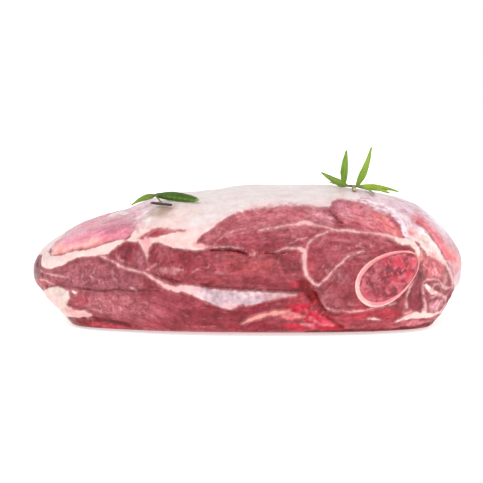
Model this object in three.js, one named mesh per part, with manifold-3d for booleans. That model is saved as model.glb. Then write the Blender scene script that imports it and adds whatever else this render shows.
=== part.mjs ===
// Raw lamb shoulder, bone in, lying fat side up with its cut face to the front (-Y).
// Millimetres, +Z up, origin in the middle of the underside.
import * as THREE from "three";
import Module from "manifold-3d";

const { clamp, lerp, smoothstep, degToRad } = THREE.MathUtils;
const wasm = await Module();
wasm.setup();

// ---- Driving dimensions ----
const LENGTH = 280; // left tip to right end
const FRONT_DEPTH = 75; // from the middle line to the cut face
const BACK_DEPTH = 74;
const GAP = 0.3; // between pieces that touch

// ---- Meat: the joint's lines along its length, as [x, height] ----
const TOP_LINE = [
  [-140, 40], [-128, 48.5], [-115, 56], [-95, 63.5], [-70, 72.3], [-50, 78.5], [-5, 82.3],
  [22, 84], [48, 84], [74, 82], [100, 75.5], [112, 70.5], [126, 63], [140, 56],
];
const UNDERSIDE_LINE = [
  [-140, 22], [-131, 17], [-125, 12], [-118, 7], [-111, 0], [-100, 0],
  [108, 0], [116, 0.5], [124, 8], [132, 17], [140, 23],
];
const MIDDLE_LINE = [
  [-140, 30], [-100, 33], [100, 34], [140, 35],
];
const FULLEST_X = 25; // where the plan is deepest
const FRONT_POWER = { left: 2.5, right: 2.7 }; // how square the plan's corners are
const BACK_POWER = { left: 2.0, right: 2.3 };
const SECTION_POWER = { frontTop: 3.2, backTop: 2.3, frontUnder: 6, backUnder: 3 };
const END_ROUNDING = { frontUnder: 4.6, backUnder: 2.2 }; // the same near the two ends
const NOSE_RADIUS = 9; // the left tip's rounding in height
const DOME_RADIUS = 28; // the right end's
const SAG = 6; // how much of the lower half the board flattens
const COLUMNS = 98;
const ROWS = 48;

// ---- Relief of the cut face ----
const PILLOW = 2.4; // how deep the muscles roll in to their seams
const PILLOW_SPREAD = 4.5;
const FAT_LIP = 1.1; // the fat cap's edge stands out over the cut
const MIDDLE_SWELL = 2.2; // the long middle muscle's belly
const LUMPS = 0.8; // soft unevenness of the fat cap and the back

// Seams between muscles on the cut, seen from the front, as [x, height]
const SEAMS = {
  eye: [[8, 65.5], [26, 67.5], [34, 68.5], [50, 66], [68, 64], [77, 61.5], [86, 57], [94, 53]],
  eyeUnder: [[-30, 57], [-22, 55.5], [-4, 54.5], [9, 52], [25, 54.5], [32, 55.5]],
  padLeft: [[32, 55], [35, 51], [34.5, 43.5], [36, 38], [40.5, 33], [43.5, 33.5]],
  padInner: [[43.5, 33.5], [49, 40], [53, 44], [60.5, 50.5], [68.5, 53]],
  padUpper: [[34, 54.5], [38, 58.5], [48, 64], [52, 66]],
  diagonal: [[-85, 48.5], [-77, 43], [-61, 38], [-53.5, 33], [-46, 30.5]],
  sheetTop: [[-46, 31.5], [-19, 31], [6, 29], [33, 29]],
  sheetUnder: [[-46, 31], [-28, 23.5], [-14, 18], [6, 21.5], [21, 26], [33, 27]],
  redTop: [[-4, 9.5], [9, 14.5], [20, 17], [32, 18], [41, 14.5]],
  rightDark: [[96, 26], [100, 33], [102, 40]],
};
// Creases, notches and edges: line, depth and half width
const CREASES = [
  { line: [[-14, 55.5], [-4, 54], [1, 52.5]], depth: 3.2, width: 2 },
  { line: [[-104, 26.5], [-90, 26.5], [-77, 27.5], [-65, 29]], depth: 1.6, width: 2.2 },
  { line: [[-60, 55.5], [-60, 48], [-61, 41]], depth: 1.8, width: 3 },
  { line: [[-54, 36], [-43, 32.5]], depth: 1.4, width: 2.5 },
  { line: [[-43, 48], [-40, 41], [-43, 33]], depth: 0.9, width: 4 },
  { line: [[51, 76], [53, 72.5], [57, 69.5]], depth: 1.4, width: 2.2 },
  { line: [[34.5, 33], [37, 28], [42, 20], [45, 14]], depth: 3, width: 2.6 },
  { line: [[-100, 9], [-93, 9.5], [-83, 7], [-72, 4.5], [-62, 3]], depth: 2.6, width: 2.4 },
  { line: [[46, 6.5], [59, 5.5], [93, 4.5]], depth: 1, width: 2 },
  { line: [[108, 29], [111, 33], [117, 33], [122, 28], [125.5, 24]], depth: 1.2, width: 2 },
  { line: [[95, 11], [100.5, 15], [106, 12], [112, 9], [120, 10], [124.5, 15]], depth: 1.2, width: 2.2 },
  { line: [[96, 66], [103.5, 60], [114, 55], [119, 48.5], [124, 42], [128.5, 31]], depth: 1.2, width: 2.4 },
];

// Outlines of the areas with a surface of their own, seen from the front
const FAT_CAP = [
  [-74, 120], [-70.5, 70], [-70.5, 64], [-78, 57], [-79, 53.5], [-72, 57.5], [-64.5, 57], [-60.5, 53],
  [-57, 57], [-46, 55], [-37, 54], [-19, 55], [-30, 57.5], [-25, 62], [-19, 66], [-11.5, 70.5], [-4, 74],
  [5, 76.5], [14, 77.7], [23, 78], [32, 77.5], [50, 75], [54, 78], [60, 79], [72, 75.5], [81.5, 74],
  [88.5, 69.5], [95.5, 63], [110, 80], [110, 120],
];
const FLAP = [
  [-123, 44.5], [-114, 47], [-98, 51], [-88, 54], [-78.5, 56], [-72, 61], [-70.5, 64], [-71, 75],
  [-90, 80], [-114, 66], [-124, 52],
];
const CREAM_WEDGE = [
  [-131, 45], [-122.5, 44], [-98, 50.5], [-79, 56], [-80, 53], [-85, 49], [-105, 45], [-111.5, 40],
  [-126, 34], [-131, 39],
];
const TAIL = [
  [-129, 19], [-127, 23], [-120.5, 25.5], [-114, 23], [-109.5, 21], [-109.5, 17.5], [-114, 15.5],
  [-112, 13], [-98, 12.5], [-95.5, 10.5], [-99, 8], [-105, 7], [-112, 7.5], [-121, 13],
];
const DOME_WEDGE = [
  [102.5, 58], [114, 55], [119, 48.5], [124, 42], [128.5, 31], [126, 33], [121.5, 40], [116, 45],
  [109, 49],
];

// ---- Bone: its sawn end in the cut face ----
const BONE = {
  at: [84.8, 36.9], // x and height of the oval's middle
  faceY: -69.3,
  yaw: degToRad(15), // the cut face turns away at the right
  tilt: degToRad(31), // the oval leans up to the right
  long: 22.8, // half lengths of the oval
  short: 14.8,
  egg: -0.2, // narrower at its upper right
  proud: 0.9,
  depth: 100,
};
const BONE_WALL = { thick: 3.4, thin: 1.6 };
const MARROW_DEPTH = 42;
const MARROW_RECESS = 0.8;
const BONE_SIDES = 32;
const BONE_DEPTHS = [0.7, 14, 28, 40, 65, 94]; // where the bone's outside has its rings
const MARROW_DEPTHS = [14, 28, 40];

// ---- Small helpers ----
// A smooth line through [x, value] points.
function lineThrough(points) {
  const last = points.length - 1;
  const slope = (i) => {
    const a = points[Math.max(i - 1, 0)];
    const b = points[Math.min(i + 1, last)];
    return (b[1] - a[1]) / (b[0] - a[0]);
  };
  return (x) => {
    let i = points.findIndex(([px], k) => k > 0 && x < px) - 1;
    if (i < 0) i = x < points[0][0] ? 0 : last - 1;
    const [x0, v0] = points[i];
    const [x1, v1] = points[i + 1];
    const h = x1 - x0;
    const t = clamp((x - x0) / h, 0, 1);
    const t2 = t * t;
    const t3 = t2 * t;
    return (
      v0 * (2 * t3 - 3 * t2 + 1) +
      slope(i) * h * (t3 - 2 * t2 + t) +
      v1 * (3 * t2 - 2 * t3) +
      slope(i + 1) * h * (t3 - t2)
    );
  };
}

const signedPower = (value, exponent) => Math.sign(value) * Math.pow(Math.abs(value), exponent);

function distanceTo(line, x, z) {
  let best = Infinity;
  for (let k = 0; k + 1 < line.length; k++) {
    const [ax, az] = line[k];
    const dx = line[k + 1][0] - ax;
    const dz = line[k + 1][1] - az;
    const t = clamp(((x - ax) * dx + (z - az) * dz) / (dx * dx + dz * dz), 0, 1);
    best = Math.min(best, Math.hypot(x - ax - t * dx, z - az - t * dz));
  }
  return best;
}

// How far inside an outline a point lies; less than 0 outside it.
function depthInside(outline, x, z) {
  let inside = false;
  for (let k = 0; k < outline.length; k++) {
    const [ax, az] = outline[k];
    const [bx, bz] = outline[(k + 1) % outline.length];
    if (az > z !== bz > z && x < ax + ((z - az) * (bx - ax)) / (bz - az)) inside = !inside;
  }
  const distance = distanceTo([...outline, outline[0]], x, z);
  return inside ? distance : -distance;
}

const shareInside = (outline, x, z, soft) => smoothstep(depthInside(outline, x, z), -soft, soft);
const hollow = (distance, width) => Math.exp(-((distance / width) ** 2));

// Slow waves that never quite repeat
function lumps(x, y, z) {
  return (
    Math.sin(x / 17 + y / 29 + 0.6) * Math.cos(y / 19 - z / 31 + 1.1) +
    0.6 * Math.sin(x / 9.5 - y / 13 + z / 11 + 2.3) +
    0.4 * Math.cos(x / 7.1 + y / 8.3 - z / 9)
  );
}

// A closed skin over rings of points, from a start point to an end point.
function skin(start, rings, end, otherDiagonal = () => false) {
  const count = rings[0].length;
  const points = [start, ...rings.flat(), end];
  const at = (i, j) => 1 + i * count + ((j + count) % count);
  const last = points.length - 1;
  const faces = [];
  for (let j = 0; j < count; j++) {
    faces.push([0, at(0, j), at(0, j + 1)]);
    faces.push([last, at(rings.length - 1, j + 1), at(rings.length - 1, j)]);
    for (let i = 0; i + 1 < rings.length; i++) {
      const [a, b, c, d] = [at(i, j), at(i + 1, j), at(i + 1, j + 1), at(i, j + 1)];
      if (otherDiagonal(j)) {
        faces.push([a, b, d], [b, c, d]);
      } else {
        faces.push([a, b, c], [a, c, d]);
      }
    }
  }
  let volume = 0;
  const v = faces.map((face) => face.map((k) => new THREE.Vector3(...points[k])));
  for (const [a, b, c] of v) volume += a.dot(b.clone().cross(c));
  const geometry = new THREE.BufferGeometry();
  geometry.setAttribute("position", new THREE.Float32BufferAttribute(points.flat(), 3));
  geometry.setIndex((volume < 0 ? faces.map(([a, b, c]) => [a, c, b]) : faces).flat());
  return geometry;
}

function toSolid(geometry) {
  return new wasm.Manifold(new wasm.Mesh({
    numProp: 3,
    vertProperties: Float32Array.from(geometry.attributes.position.array),
    triVerts: Uint32Array.from(geometry.index.array),
  }));
}

function toGeometry(solid) {
  const mesh = solid.getMesh();
  const geometry = new THREE.BufferGeometry();
  geometry.setAttribute("position", new THREE.Float32BufferAttribute(mesh.vertProperties, 3));
  geometry.setIndex([...mesh.triVerts]);
  return geometry;
}

// ---- Meat ----
const topLine = lineThrough(TOP_LINE);
const undersideLine = lineThrough(UNDERSIDE_LINE);
const middleLine = lineThrough(MIDDLE_LINE);

// Share of the full depth left at x: 1 at the fullest place, 0 at the tips.
function planShare(x, power) {
  const left = x < FULLEST_X;
  const half = left ? LENGTH / 2 + FULLEST_X : LENGTH / 2 - FULLEST_X;
  const share = Math.min(Math.abs(x - FULLEST_X) / half, 1);
  const p = left ? power.left : power.right;
  return Math.pow(1 - Math.pow(share, p), 1 / p);
}

// Share of the full height left at a distance from a tip with that rounding.
function endShare(distance, radius) {
  const t = clamp(1 - distance / radius, 0, 1);
  return Math.sqrt(1 - t * t);
}

function sectionAt(x) {
  const fromLeft = endShare(x + LENGTH / 2, NOSE_RADIUS);
  const fromRight = endShare(LENGTH / 2 - x, DOME_RADIUS);
  const share = Math.min(fromLeft, fromRight);
  const middle = middleLine(x);
  return {
    front: -FRONT_DEPTH * planShare(x, FRONT_POWER),
    back: BACK_DEPTH * planShare(x, BACK_POWER),
    middle,
    top: lerp(middle, topLine(x), share),
    under: lerp(middle, Math.max(undersideLine(x), 0), share),
    sag: SAG * smoothstep(x, -118, -100) * share,
    endness: smoothstep(Math.abs(x), 95, 132),
  };
}

// A point of the section at an angle: 0 is the back, a quarter turn the top and half a turn the front.
function sectionPoint(section, angle) {
  const c = Math.cos(angle);
  const s = Math.sin(angle);
  const side = c > 0 ? "back" : "front";
  const part = side + (s > 0 ? "Top" : "Under");
  const power = lerp(SECTION_POWER[part], END_ROUNDING[part] ?? SECTION_POWER[part], section.endness);
  const reach = s > 0 ? section.top - section.middle : section.middle - section.under + section.sag;
  const z = section.middle + reach * signedPower(s, 2 / power);
  return [Math.abs(section[side]) * signedPower(c, 2 / power), Math.max(z, section.under)];
}

// The points of one column, from the middle of the base round by the front, close together on the cut.
function columnPoints(x) {
  const section = sectionAt(x);
  const steps = 720;
  const fine = [];
  for (let k = 0; k <= steps; k++) {
    fine.push(sectionPoint(section, -Math.PI / 2 - (2 * Math.PI * k) / steps));
  }
  const travelled = [0];
  for (let k = 1; k <= steps; k++) {
    const dy = fine[k][0] - fine[k - 1][0];
    const dz = fine[k][1] - fine[k - 1][1];
    const length = Math.hypot(dy, dz) + 1e-9;
    const frontness = clamp(dz / length, 0, 1);
    const backness = clamp(-dz / length, 0, 1);
    const upness = clamp(dy / length, 0, 1);
    const baseness = fine[k][0] > 0 ? clamp(-dy / length, 0, 1) : 0;
    const weight = 0.15 + 2.8 * frontness + 0.65 * upness + 0.3 * backness + 0.15 * baseness;
    travelled.push(travelled[k - 1] + length * weight);
  }
  const points = [];
  let k = 0;
  for (let j = 0; j < ROWS; j++) {
    const goal = (travelled[steps] * j) / ROWS;
    while (travelled[k + 1] < goal) k++;
    const t = (goal - travelled[k]) / (travelled[k + 1] - travelled[k]);
    points.push([x, lerp(fine[k][0], fine[k + 1][0], t), lerp(fine[k][1], fine[k + 1][1], t)]);
  }
  return points;
}

// The columns' places, at even steps along the front's curve.
function columnPlaces() {
  const steps = 4000;
  const travelled = [0];
  const xs = [-LENGTH / 2];
  for (let k = 1; k <= steps; k++) {
    const x = -(LENGTH / 2) * Math.cos((Math.PI * k) / steps);
    const a = sectionAt(xs[k - 1]);
    const b = sectionAt(x);
    const step = Math.hypot(x - xs[k - 1], 0.7 * (b.front - a.front), 0.7 * (b.top - a.top));
    travelled.push(travelled[k - 1] + step);
    xs.push(x);
  }
  const places = [];
  let k = 0;
  for (let i = 1; i < COLUMNS; i++) {
    const goal = (travelled[steps] * i) / COLUMNS;
    while (travelled[k + 1] < goal) k++;
    const t = (goal - travelled[k]) / (travelled[k + 1] - travelled[k]);
    places.push(lerp(xs[k], xs[k + 1], t));
  }
  return places;
}

// How far a place of the cut face stands out, in mm; less than 0 where it lies back.
function cutRelief(x, z) {
  const edges = [...Object.values(SEAMS), FAT_CAP, [...CREAM_WEDGE, CREAM_WEDGE[0]]];
  const toEdge = Math.min(...edges.map((line) => distanceTo(line, x, z)));
  let out = -PILLOW * Math.exp(-toEdge / PILLOW_SPREAD) - FAT_LIP;
  out += MIDDLE_SWELL * hollow((z - 42) / 9, 1) * hollow((x + 6) / 34, 1);
  const cap = shareInside(FAT_CAP, x, z, 1.4);
  const flap = shareInside(FLAP, x, z, 2);
  const toFlapEdge = Math.max(depthInside(FLAP, x, z), 0);
  out = lerp(out, 0, cap);
  out = lerp(out, 2.2 - 2.6 * Math.exp(-toFlapEdge / 6), flap * smoothstep(z, 40, 46));
  out = lerp(out, -0.2, shareInside(CREAM_WEDGE, x, z, 1.5));
  out = lerp(out, 1.2, shareInside(TAIL, x, z, 1.5));
  out = lerp(out, -0.4, shareInside(DOME_WEDGE, x, z, 1.5));
  for (const { line, depth, width } of CREASES) out -= depth * hollow(distanceTo(line, x, z), width);
  return out;
}

// The fat cap's and the back's own form
function outsideRelief(x, y, z) {
  const saddle = hollow(x + 72 + 0.12 * (y + 40), 6) * smoothstep(z, 40, 60);
  const backSeam = hollow(z - 38 - 10 * Math.sin((x + 90) / 60), 6) * smoothstep(y, 20, 50);
  return LUMPS * lumps(x, y, z) - 1.1 * saddle - 1.3 * backSeam * smoothstep(110 - Math.abs(x), 0, 30);
}

// Where a point lies on the bone's sawn face: 1 is the oval's outline.
function boneOval(x, z) {
  const across = (x - BONE.at[0]) / Math.cos(BONE.yaw);
  const up = z - BONE.at[1];
  const along = (across * Math.cos(BONE.tilt) + up * Math.sin(BONE.tilt)) / BONE.long;
  const side = (up * Math.cos(BONE.tilt) - across * Math.sin(BONE.tilt)) / BONE.short;
  return Math.hypot(along, side / (1 + BONE.egg * clamp(along, -1.5, 1.5)));
}
const boneFaceY = (x) => BONE.faceY + (x - BONE.at[0]) * Math.tan(BONE.yaw);

function meatGeometry() {
  const columns = columnPlaces().map(columnPoints);
  const tip = (x) => [x, 0, sectionAt(x).middle];
  const base = skin(tip(-LENGTH / 2), columns, tip(LENGTH / 2));
  base.computeVertexNormals();
  const position = base.attributes.position;
  const normal = base.attributes.normal;
  for (let k = 0; k < position.count; k++) {
    const [x, y, z] = [position.getX(k), position.getY(k), position.getZ(k)];
    const [nx, ny, nz] = [normal.getX(k), normal.getY(k), normal.getZ(k)];
    const toFront = smoothstep(-ny, 0.08, 0.45);
    const toBoard = smoothstep(-nz, 0.6, 0.95);
    const fromTips = smoothstep(LENGTH / 2 - Math.abs(x), 0, 12);
    let out = lerp(outsideRelief(x, y, z), cutRelief(x, z) + 0.3 * lumps(x, y, z), toFront) * fromTips;
    out *= 1 - toBoard;
    let [px, py, pz] = [x + nx * out, y + ny * out, z + nz * out];
    if (ny < -0.3) {
      const flat = 1 - smoothstep(boneOval(px, pz), 1.08, 1.45);
      py = lerp(py, boneFaceY(px), flat);
    }
    position.setXYZ(k, px, py, z < 0.01 ? z : Math.max(pz, 0.2));
  }
  base.deleteAttribute("normal");
  return base;
}

// ---- Bone and marrow ----
// A ring of the bone: how far in from its sawn face, and its half lengths there.
function boneRing(depth, long, short, turn = () => [0, 0]) {
  const ring = [];
  for (let k = 0; k < BONE_SIDES; k++) {
    const angle = (2 * Math.PI * k) / BONE_SIDES;
    const [inward, off] = turn(angle);
    const along = (long - inward) * Math.cos(angle);
    const side = (short - inward) * Math.sin(angle) * (1 + BONE.egg * Math.cos(angle) * (1 - depth / 120));
    const across = along * Math.cos(BONE.tilt) - side * Math.sin(BONE.tilt);
    const up = along * Math.sin(BONE.tilt) + side * Math.cos(BONE.tilt);
    ring.push(bonePoint(across, up, depth + off));
  }
  return ring;
}

function bonePoint(across, up, depth) {
  const c = Math.cos(BONE.yaw);
  const s = Math.sin(BONE.yaw);
  const inward = depth - BONE.proud / c;
  return [
    BONE.at[0] + across * c - inward * s,
    BONE.faceY + across * s + inward * c,
    BONE.at[1] + up,
  ];
}

// The shaft narrows from the joint's end to a rounder section inside.
const shaftLong = (depth) => lerp(BONE.long, 13, smoothstep(depth, 0, 80));
const shaftShort = (depth) => lerp(BONE.short, 11.5, smoothstep(depth, 0, 80));
// The wall is thick at the lower left and thin at the upper right.
const wall = (angle) => lerp(BONE_WALL.thin, BONE_WALL.thick, smoothstep(-Math.cos(angle + 0.35), -0.9, 0.5));

function boneOutside(grow, depths) {
  return depths.map((depth) => boneRing(depth, shaftLong(depth) + grow, shaftShort(depth) + grow));
}

// The wall's inside at a depth, or further in by extra.
function boneInside(depth, extra) {
  return boneRing(depth, shaftLong(depth), shaftShort(depth), (angle) => [wall(angle) + extra, 0]);
}

function boneGeometry() {
  const rings = [
    boneInside(MARROW_DEPTH, 3),
    ...MARROW_DEPTHS.map((depth) => boneInside(depth, 0)).reverse(),
    boneInside(0.7, 0),
    boneInside(0, -0.5),
    boneRing(0, BONE.long - 0.5, BONE.short - 0.5),
    ...boneOutside(0, BONE_DEPTHS),
    boneRing(98.5, 9, 8),
  ];
  return skin(bonePoint(0, 0, MARROW_DEPTH), rings, bonePoint(0, 0, BONE.depth));
}

function marrowGeometry() {
  const face = (share) => boneRing(MARROW_RECESS, BONE.long * share, BONE.short * share, (angle) => [
    wall(angle) * share + GAP * share,
    0.45 * Math.sin(5 * angle + 9 * share) * Math.sin(11 * share + 2 * angle),
  ]);
  const end = MARROW_DEPTH - 1.2 * GAP;
  const rings = [
    face(0.25),
    face(0.5),
    face(0.75),
    boneInside(MARROW_RECESS, GAP + 0.7),
    boneInside(MARROW_RECESS + 0.8, GAP),
    ...MARROW_DEPTHS.map((depth) => boneInside(depth, GAP)),
    boneInside(end, GAP + 3.4),
  ];
  return skin(bonePoint(0, 0, MARROW_RECESS - 0.3), rings, bonePoint(0, 0, end));
}

// The socket in the meat, open at the cut face
function boneSocket() {
  const rings = [
    boneRing(-12, BONE.long + GAP, BONE.short + GAP),
    ...boneOutside(GAP, [0, ...BONE_DEPTHS]),
    boneRing(98.5 + GAP, 9 + GAP, 8 + GAP),
  ];
  return skin(bonePoint(0, 0, -12), rings, bonePoint(0, 0, BONE.depth + GAP));
}

// ---- Rosemary ----
const LEAF_STEPS = 8;
const LEAF_ACROSS = 4;
const LEAF_THICKNESS = 0.9;
// How a leaf narrows to its tip: where it starts to, how gently it starts and how bluntly it ends
const LEAF_TAPERS = {
  blunt: { start: 0.45, onset: 2.4, end: 0.5 },
  slim: { start: 0.28, onset: 1.4, end: 0.8 },
};

// A leaf along a bent middle line, its edges rolled under: from, by way of and to are places in mm,
// facing says which way its upper face looks, and phase where its waves start.
function leafGeometry({ from, by, to, width, taper, facing, phase }) {
  const curve = new THREE.QuadraticBezierCurve3(...[from, by, to].map((p) => new THREE.Vector3(...p)));
  const { start, onset, end } = LEAF_TAPERS[taper];
  const rings = [];
  for (let i = 0; i <= LEAF_STEPS; i++) {
    const t = i / LEAF_STEPS;
    const ahead = curve.getTangent(t);
    const side = ahead.clone().cross(new THREE.Vector3(...facing)).normalize();
    const up = side.clone().cross(ahead).normalize();
    const swell = Math.pow(clamp(t / 0.3, 0, 1), 0.6);
    const toTip = clamp((t - start) / (1.02 - start), 0, 1);
    const share = Math.max(Math.pow(1 - Math.pow(toTip, onset), end), 0.22);
    const half = (width / 2) * (0.3 + 0.7 * swell) * share;
    const thick = LEAF_THICKNESS * (0.45 + 0.55 * share);
    const wave = 0.25 * Math.sin(9 * t + phase);
    const ring = [];
    for (const face of [1, -1]) {
      for (let j = 0; j <= LEAF_ACROSS; j++) {
        const s = face * ((2 * j) / LEAF_ACROSS - 1);
        const rolled = -0.5 * half * s * s + wave * s - 0.3 * hollow(s, 0.3);
        const height = rolled + (face * thick * (1 - 0.4 * s * s)) / 2;
        const place = curve.getPoint(t).addScaledVector(side, half * s).addScaledVector(up, height);
        ring.push(place.toArray());
      }
    }
    rings.push(ring);
  }
  const under = LEAF_ACROSS + 1;
  const beyond = (t, way) => curve.getPoint(t).addScaledVector(curve.getTangent(t), way).toArray();
  return skin(beyond(0, -0.4), rings, beyond(1, 0.5), (j) => j >= under);
}

// A short stem of round section along a straight line
function stemGeometry({ from, to, radius }) {
  const a = new THREE.Vector3(...from);
  const b = new THREE.Vector3(...to);
  const ahead = b.clone().sub(a).normalize();
  const side = ahead.clone().cross(new THREE.Vector3(0, 0, 1)).normalize();
  const up = side.clone().cross(ahead);
  const rings = [0, 0.12, 0.5, 0.9, 1].map((t, i) => {
    const r = radius * [0.6, 1, 0.9, 1.05, 0.6][i];
    return Array.from({ length: 8 }, (_, k) => {
      const angle = (Math.PI * k) / 4;
      return a.clone().lerp(b, t).addScaledVector(side, r * Math.cos(angle))
        .addScaledVector(up, r * Math.sin(angle)).toArray();
    });
  });
  return skin(a.toArray(), rings, b.toArray());
}

const LEFT_SPRIG = {
  leaves: [
    {
      from: [-58.3, -25, 80.4], by: [-44.4, -39, 82.2], to: [-29.6, -46.5, 79.4],
      width: 6.3, taper: "blunt", facing: [0, -0.9, 0.43], phase: 0.4,
    },
    {
      from: [-57.7, -25, 79.8], by: [-64.7, -29.5, 80.5], to: [-73, -28, 74],
      width: 4.4, taper: "slim", facing: [0.1, -0.9, 0.45], phase: 2.1,
    },
  ],
  stems: [
    { from: [-60.6, -31, 75.8], to: [-46, -50, 76.8], radius: 1 },
    { from: [-58, -24.5, 80], to: [-52.6, -40.5, 76.6], radius: 0.7 },
  ],
};
const RIGHT_SPRIG = {
  leaves: [
    {
      from: [66, -4, 84.5], by: [57.4, -6.5, 88.6], to: [48.6, -7, 93.4],
      width: 5.8, taper: "slim", facing: [0.4, -0.85, 0.5], phase: 0.2,
    },
    {
      from: [63.6, -3, 85.2], by: [64.4, -1, 98], to: [65.3, 1, 107],
      width: 5.8, taper: "slim", facing: [0.2, -1, 0.1], phase: 1.3,
    },
    {
      from: [71.8, -3, 84.2], by: [78.2, -1.5, 95], to: [81.6, 2, 109],
      width: 5.2, taper: "slim", facing: [-0.2, -1, 0.2], phase: 2.6,
    },
    {
      from: [73, -3.5, 84.4], by: [86.2, -7, 85.4], to: [98.3, -10, 81.4],
      width: 4.6, taper: "slim", facing: [0, -0.8, 0.6], phase: 0.9,
    },
    {
      from: [74, -5, 84], by: [84.4, -10, 84.4], to: [91.9, -15, 81],
      width: 3.8, taper: "slim", facing: [0.1, -0.8, 0.6], phase: 3.4,
    },
    {
      from: [67.4, -3.4, 84.4], by: [61, 3, 85], to: [54, 6, 86],
      width: 2.8, taper: "slim", facing: [0, -0.5, 0.9], phase: 1.9,
    },
    {
      from: [71, -8, 84.4], by: [78.5, -17, 85.2], to: [80.2, -34, 82.3],
      width: 2.8, taper: "blunt", facing: [0.5, 0, 0.8], phase: 0.7,
    },
  ],
  stems: [
    { from: [69.6, -4, 84.2], to: [68.2, -26, 84.3], radius: 1.4 },
    { from: [65, -3.6, 84.3], to: [74.5, -4.4, 84.1], radius: 0.9 },
  ],
};

function sprigGeometry({ leaves, stems }) {
  const solids = [...leaves.map(leafGeometry), ...stems.map(stemGeometry)].map(toSolid);
  return toGeometry(wasm.Manifold.union(solids));
}

// Lowers or lifts a sprig until it rests on the meat, a gap above it.
function settle(sprig, meat) {
  const below = new THREE.Raycaster();
  const target = new THREE.Mesh(meat, new THREE.MeshBasicMaterial({ side: THREE.DoubleSide }));
  target.updateMatrixWorld();
  const position = sprig.attributes.position;
  let clearance = Infinity;
  for (let k = 0; k < position.count; k++) {
    const [x, y, z] = [position.getX(k), position.getY(k), position.getZ(k)];
    below.set(new THREE.Vector3(x, y, 200), new THREE.Vector3(0, 0, -1));
    const hit = below.intersectObject(target)[0];
    if (hit) clearance = Math.min(clearance, z - hit.point.z);
  }
  sprig.translate(0, 0, GAP + 0.1 - clearance);
  return sprig;
}

// ---- Assembly ----
const meat = toGeometry(toSolid(meatGeometry()).subtract(toSolid(boneSocket())));
const leftSprig = settle(sprigGeometry(LEFT_SPRIG), meat);
const rightSprig = settle(sprigGeometry(RIGHT_SPRIG), meat);
const pieces = [
  { name: "shoulder_meat", geometry: meat, color: 0xa9505b, roughness: 0.32 },
  { name: "arm_bone", geometry: boneGeometry(), color: 0xf2c4ba, roughness: 0.4 },
  { name: "marrow", geometry: marrowGeometry(), color: 0xb04852, roughness: 0.35 },
  { name: "rosemary_sprig_left", geometry: leftSprig, color: 0x4f6e1a, roughness: 0.5 },
  { name: "rosemary_sprig_right", geometry: rightSprig, color: 0x7d9d45, roughness: 0.5 },
];

const shoulder = new THREE.Group();
const bounds = new THREE.Box3();
for (const { geometry } of pieces) {
  geometry.computeBoundingBox();
  bounds.union(geometry.boundingBox);
}
const middle = bounds.getCenter(new THREE.Vector3());
for (const { name, geometry, color, roughness } of pieces) {
  geometry.translate(-middle.x, -middle.y, -bounds.min.z);
  const mesh = new THREE.Mesh(geometry, new THREE.MeshStandardMaterial({ color, roughness, metalness: 0 }));
  mesh.name = name;
  shoulder.add(mesh);
}

export default shoulder;
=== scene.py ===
"""A raw lamb shoulder, bone in, lying fat side up with its cut face to the front.

The meat, the sawn arm bone with its marrow and two rosemary sprigs are refined copies of the frame's solids.
Lists of places on the cut face are in millimetres, as (x, height); Blender's own units are metres.
"""

import itertools
import math

import bpy
import numpy as np
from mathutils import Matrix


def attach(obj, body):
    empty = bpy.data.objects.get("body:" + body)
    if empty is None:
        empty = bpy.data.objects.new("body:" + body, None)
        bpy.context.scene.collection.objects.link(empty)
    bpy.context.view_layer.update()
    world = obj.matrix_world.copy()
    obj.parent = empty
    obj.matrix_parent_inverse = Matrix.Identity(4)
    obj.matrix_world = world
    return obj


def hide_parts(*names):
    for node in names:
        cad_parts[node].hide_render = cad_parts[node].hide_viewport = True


bl_info = {
    "name": "Raw Lamb Shoulder",
    "version": (1, 0, 0),
    "blender": (4, 5, 0),
    "location": "3D View > Sidebar > Lamb",
    "description": "Dresses a bone-in lamb shoulder with its muscles, fat, bone and rosemary",
    "category": "Add Mesh",
}

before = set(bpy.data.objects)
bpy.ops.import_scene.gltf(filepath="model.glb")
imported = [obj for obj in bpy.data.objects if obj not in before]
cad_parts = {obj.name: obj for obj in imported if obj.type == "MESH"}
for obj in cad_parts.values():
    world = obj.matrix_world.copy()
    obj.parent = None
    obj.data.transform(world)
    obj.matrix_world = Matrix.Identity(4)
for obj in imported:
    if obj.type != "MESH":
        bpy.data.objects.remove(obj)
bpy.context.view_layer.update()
MM = 0.001

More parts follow.
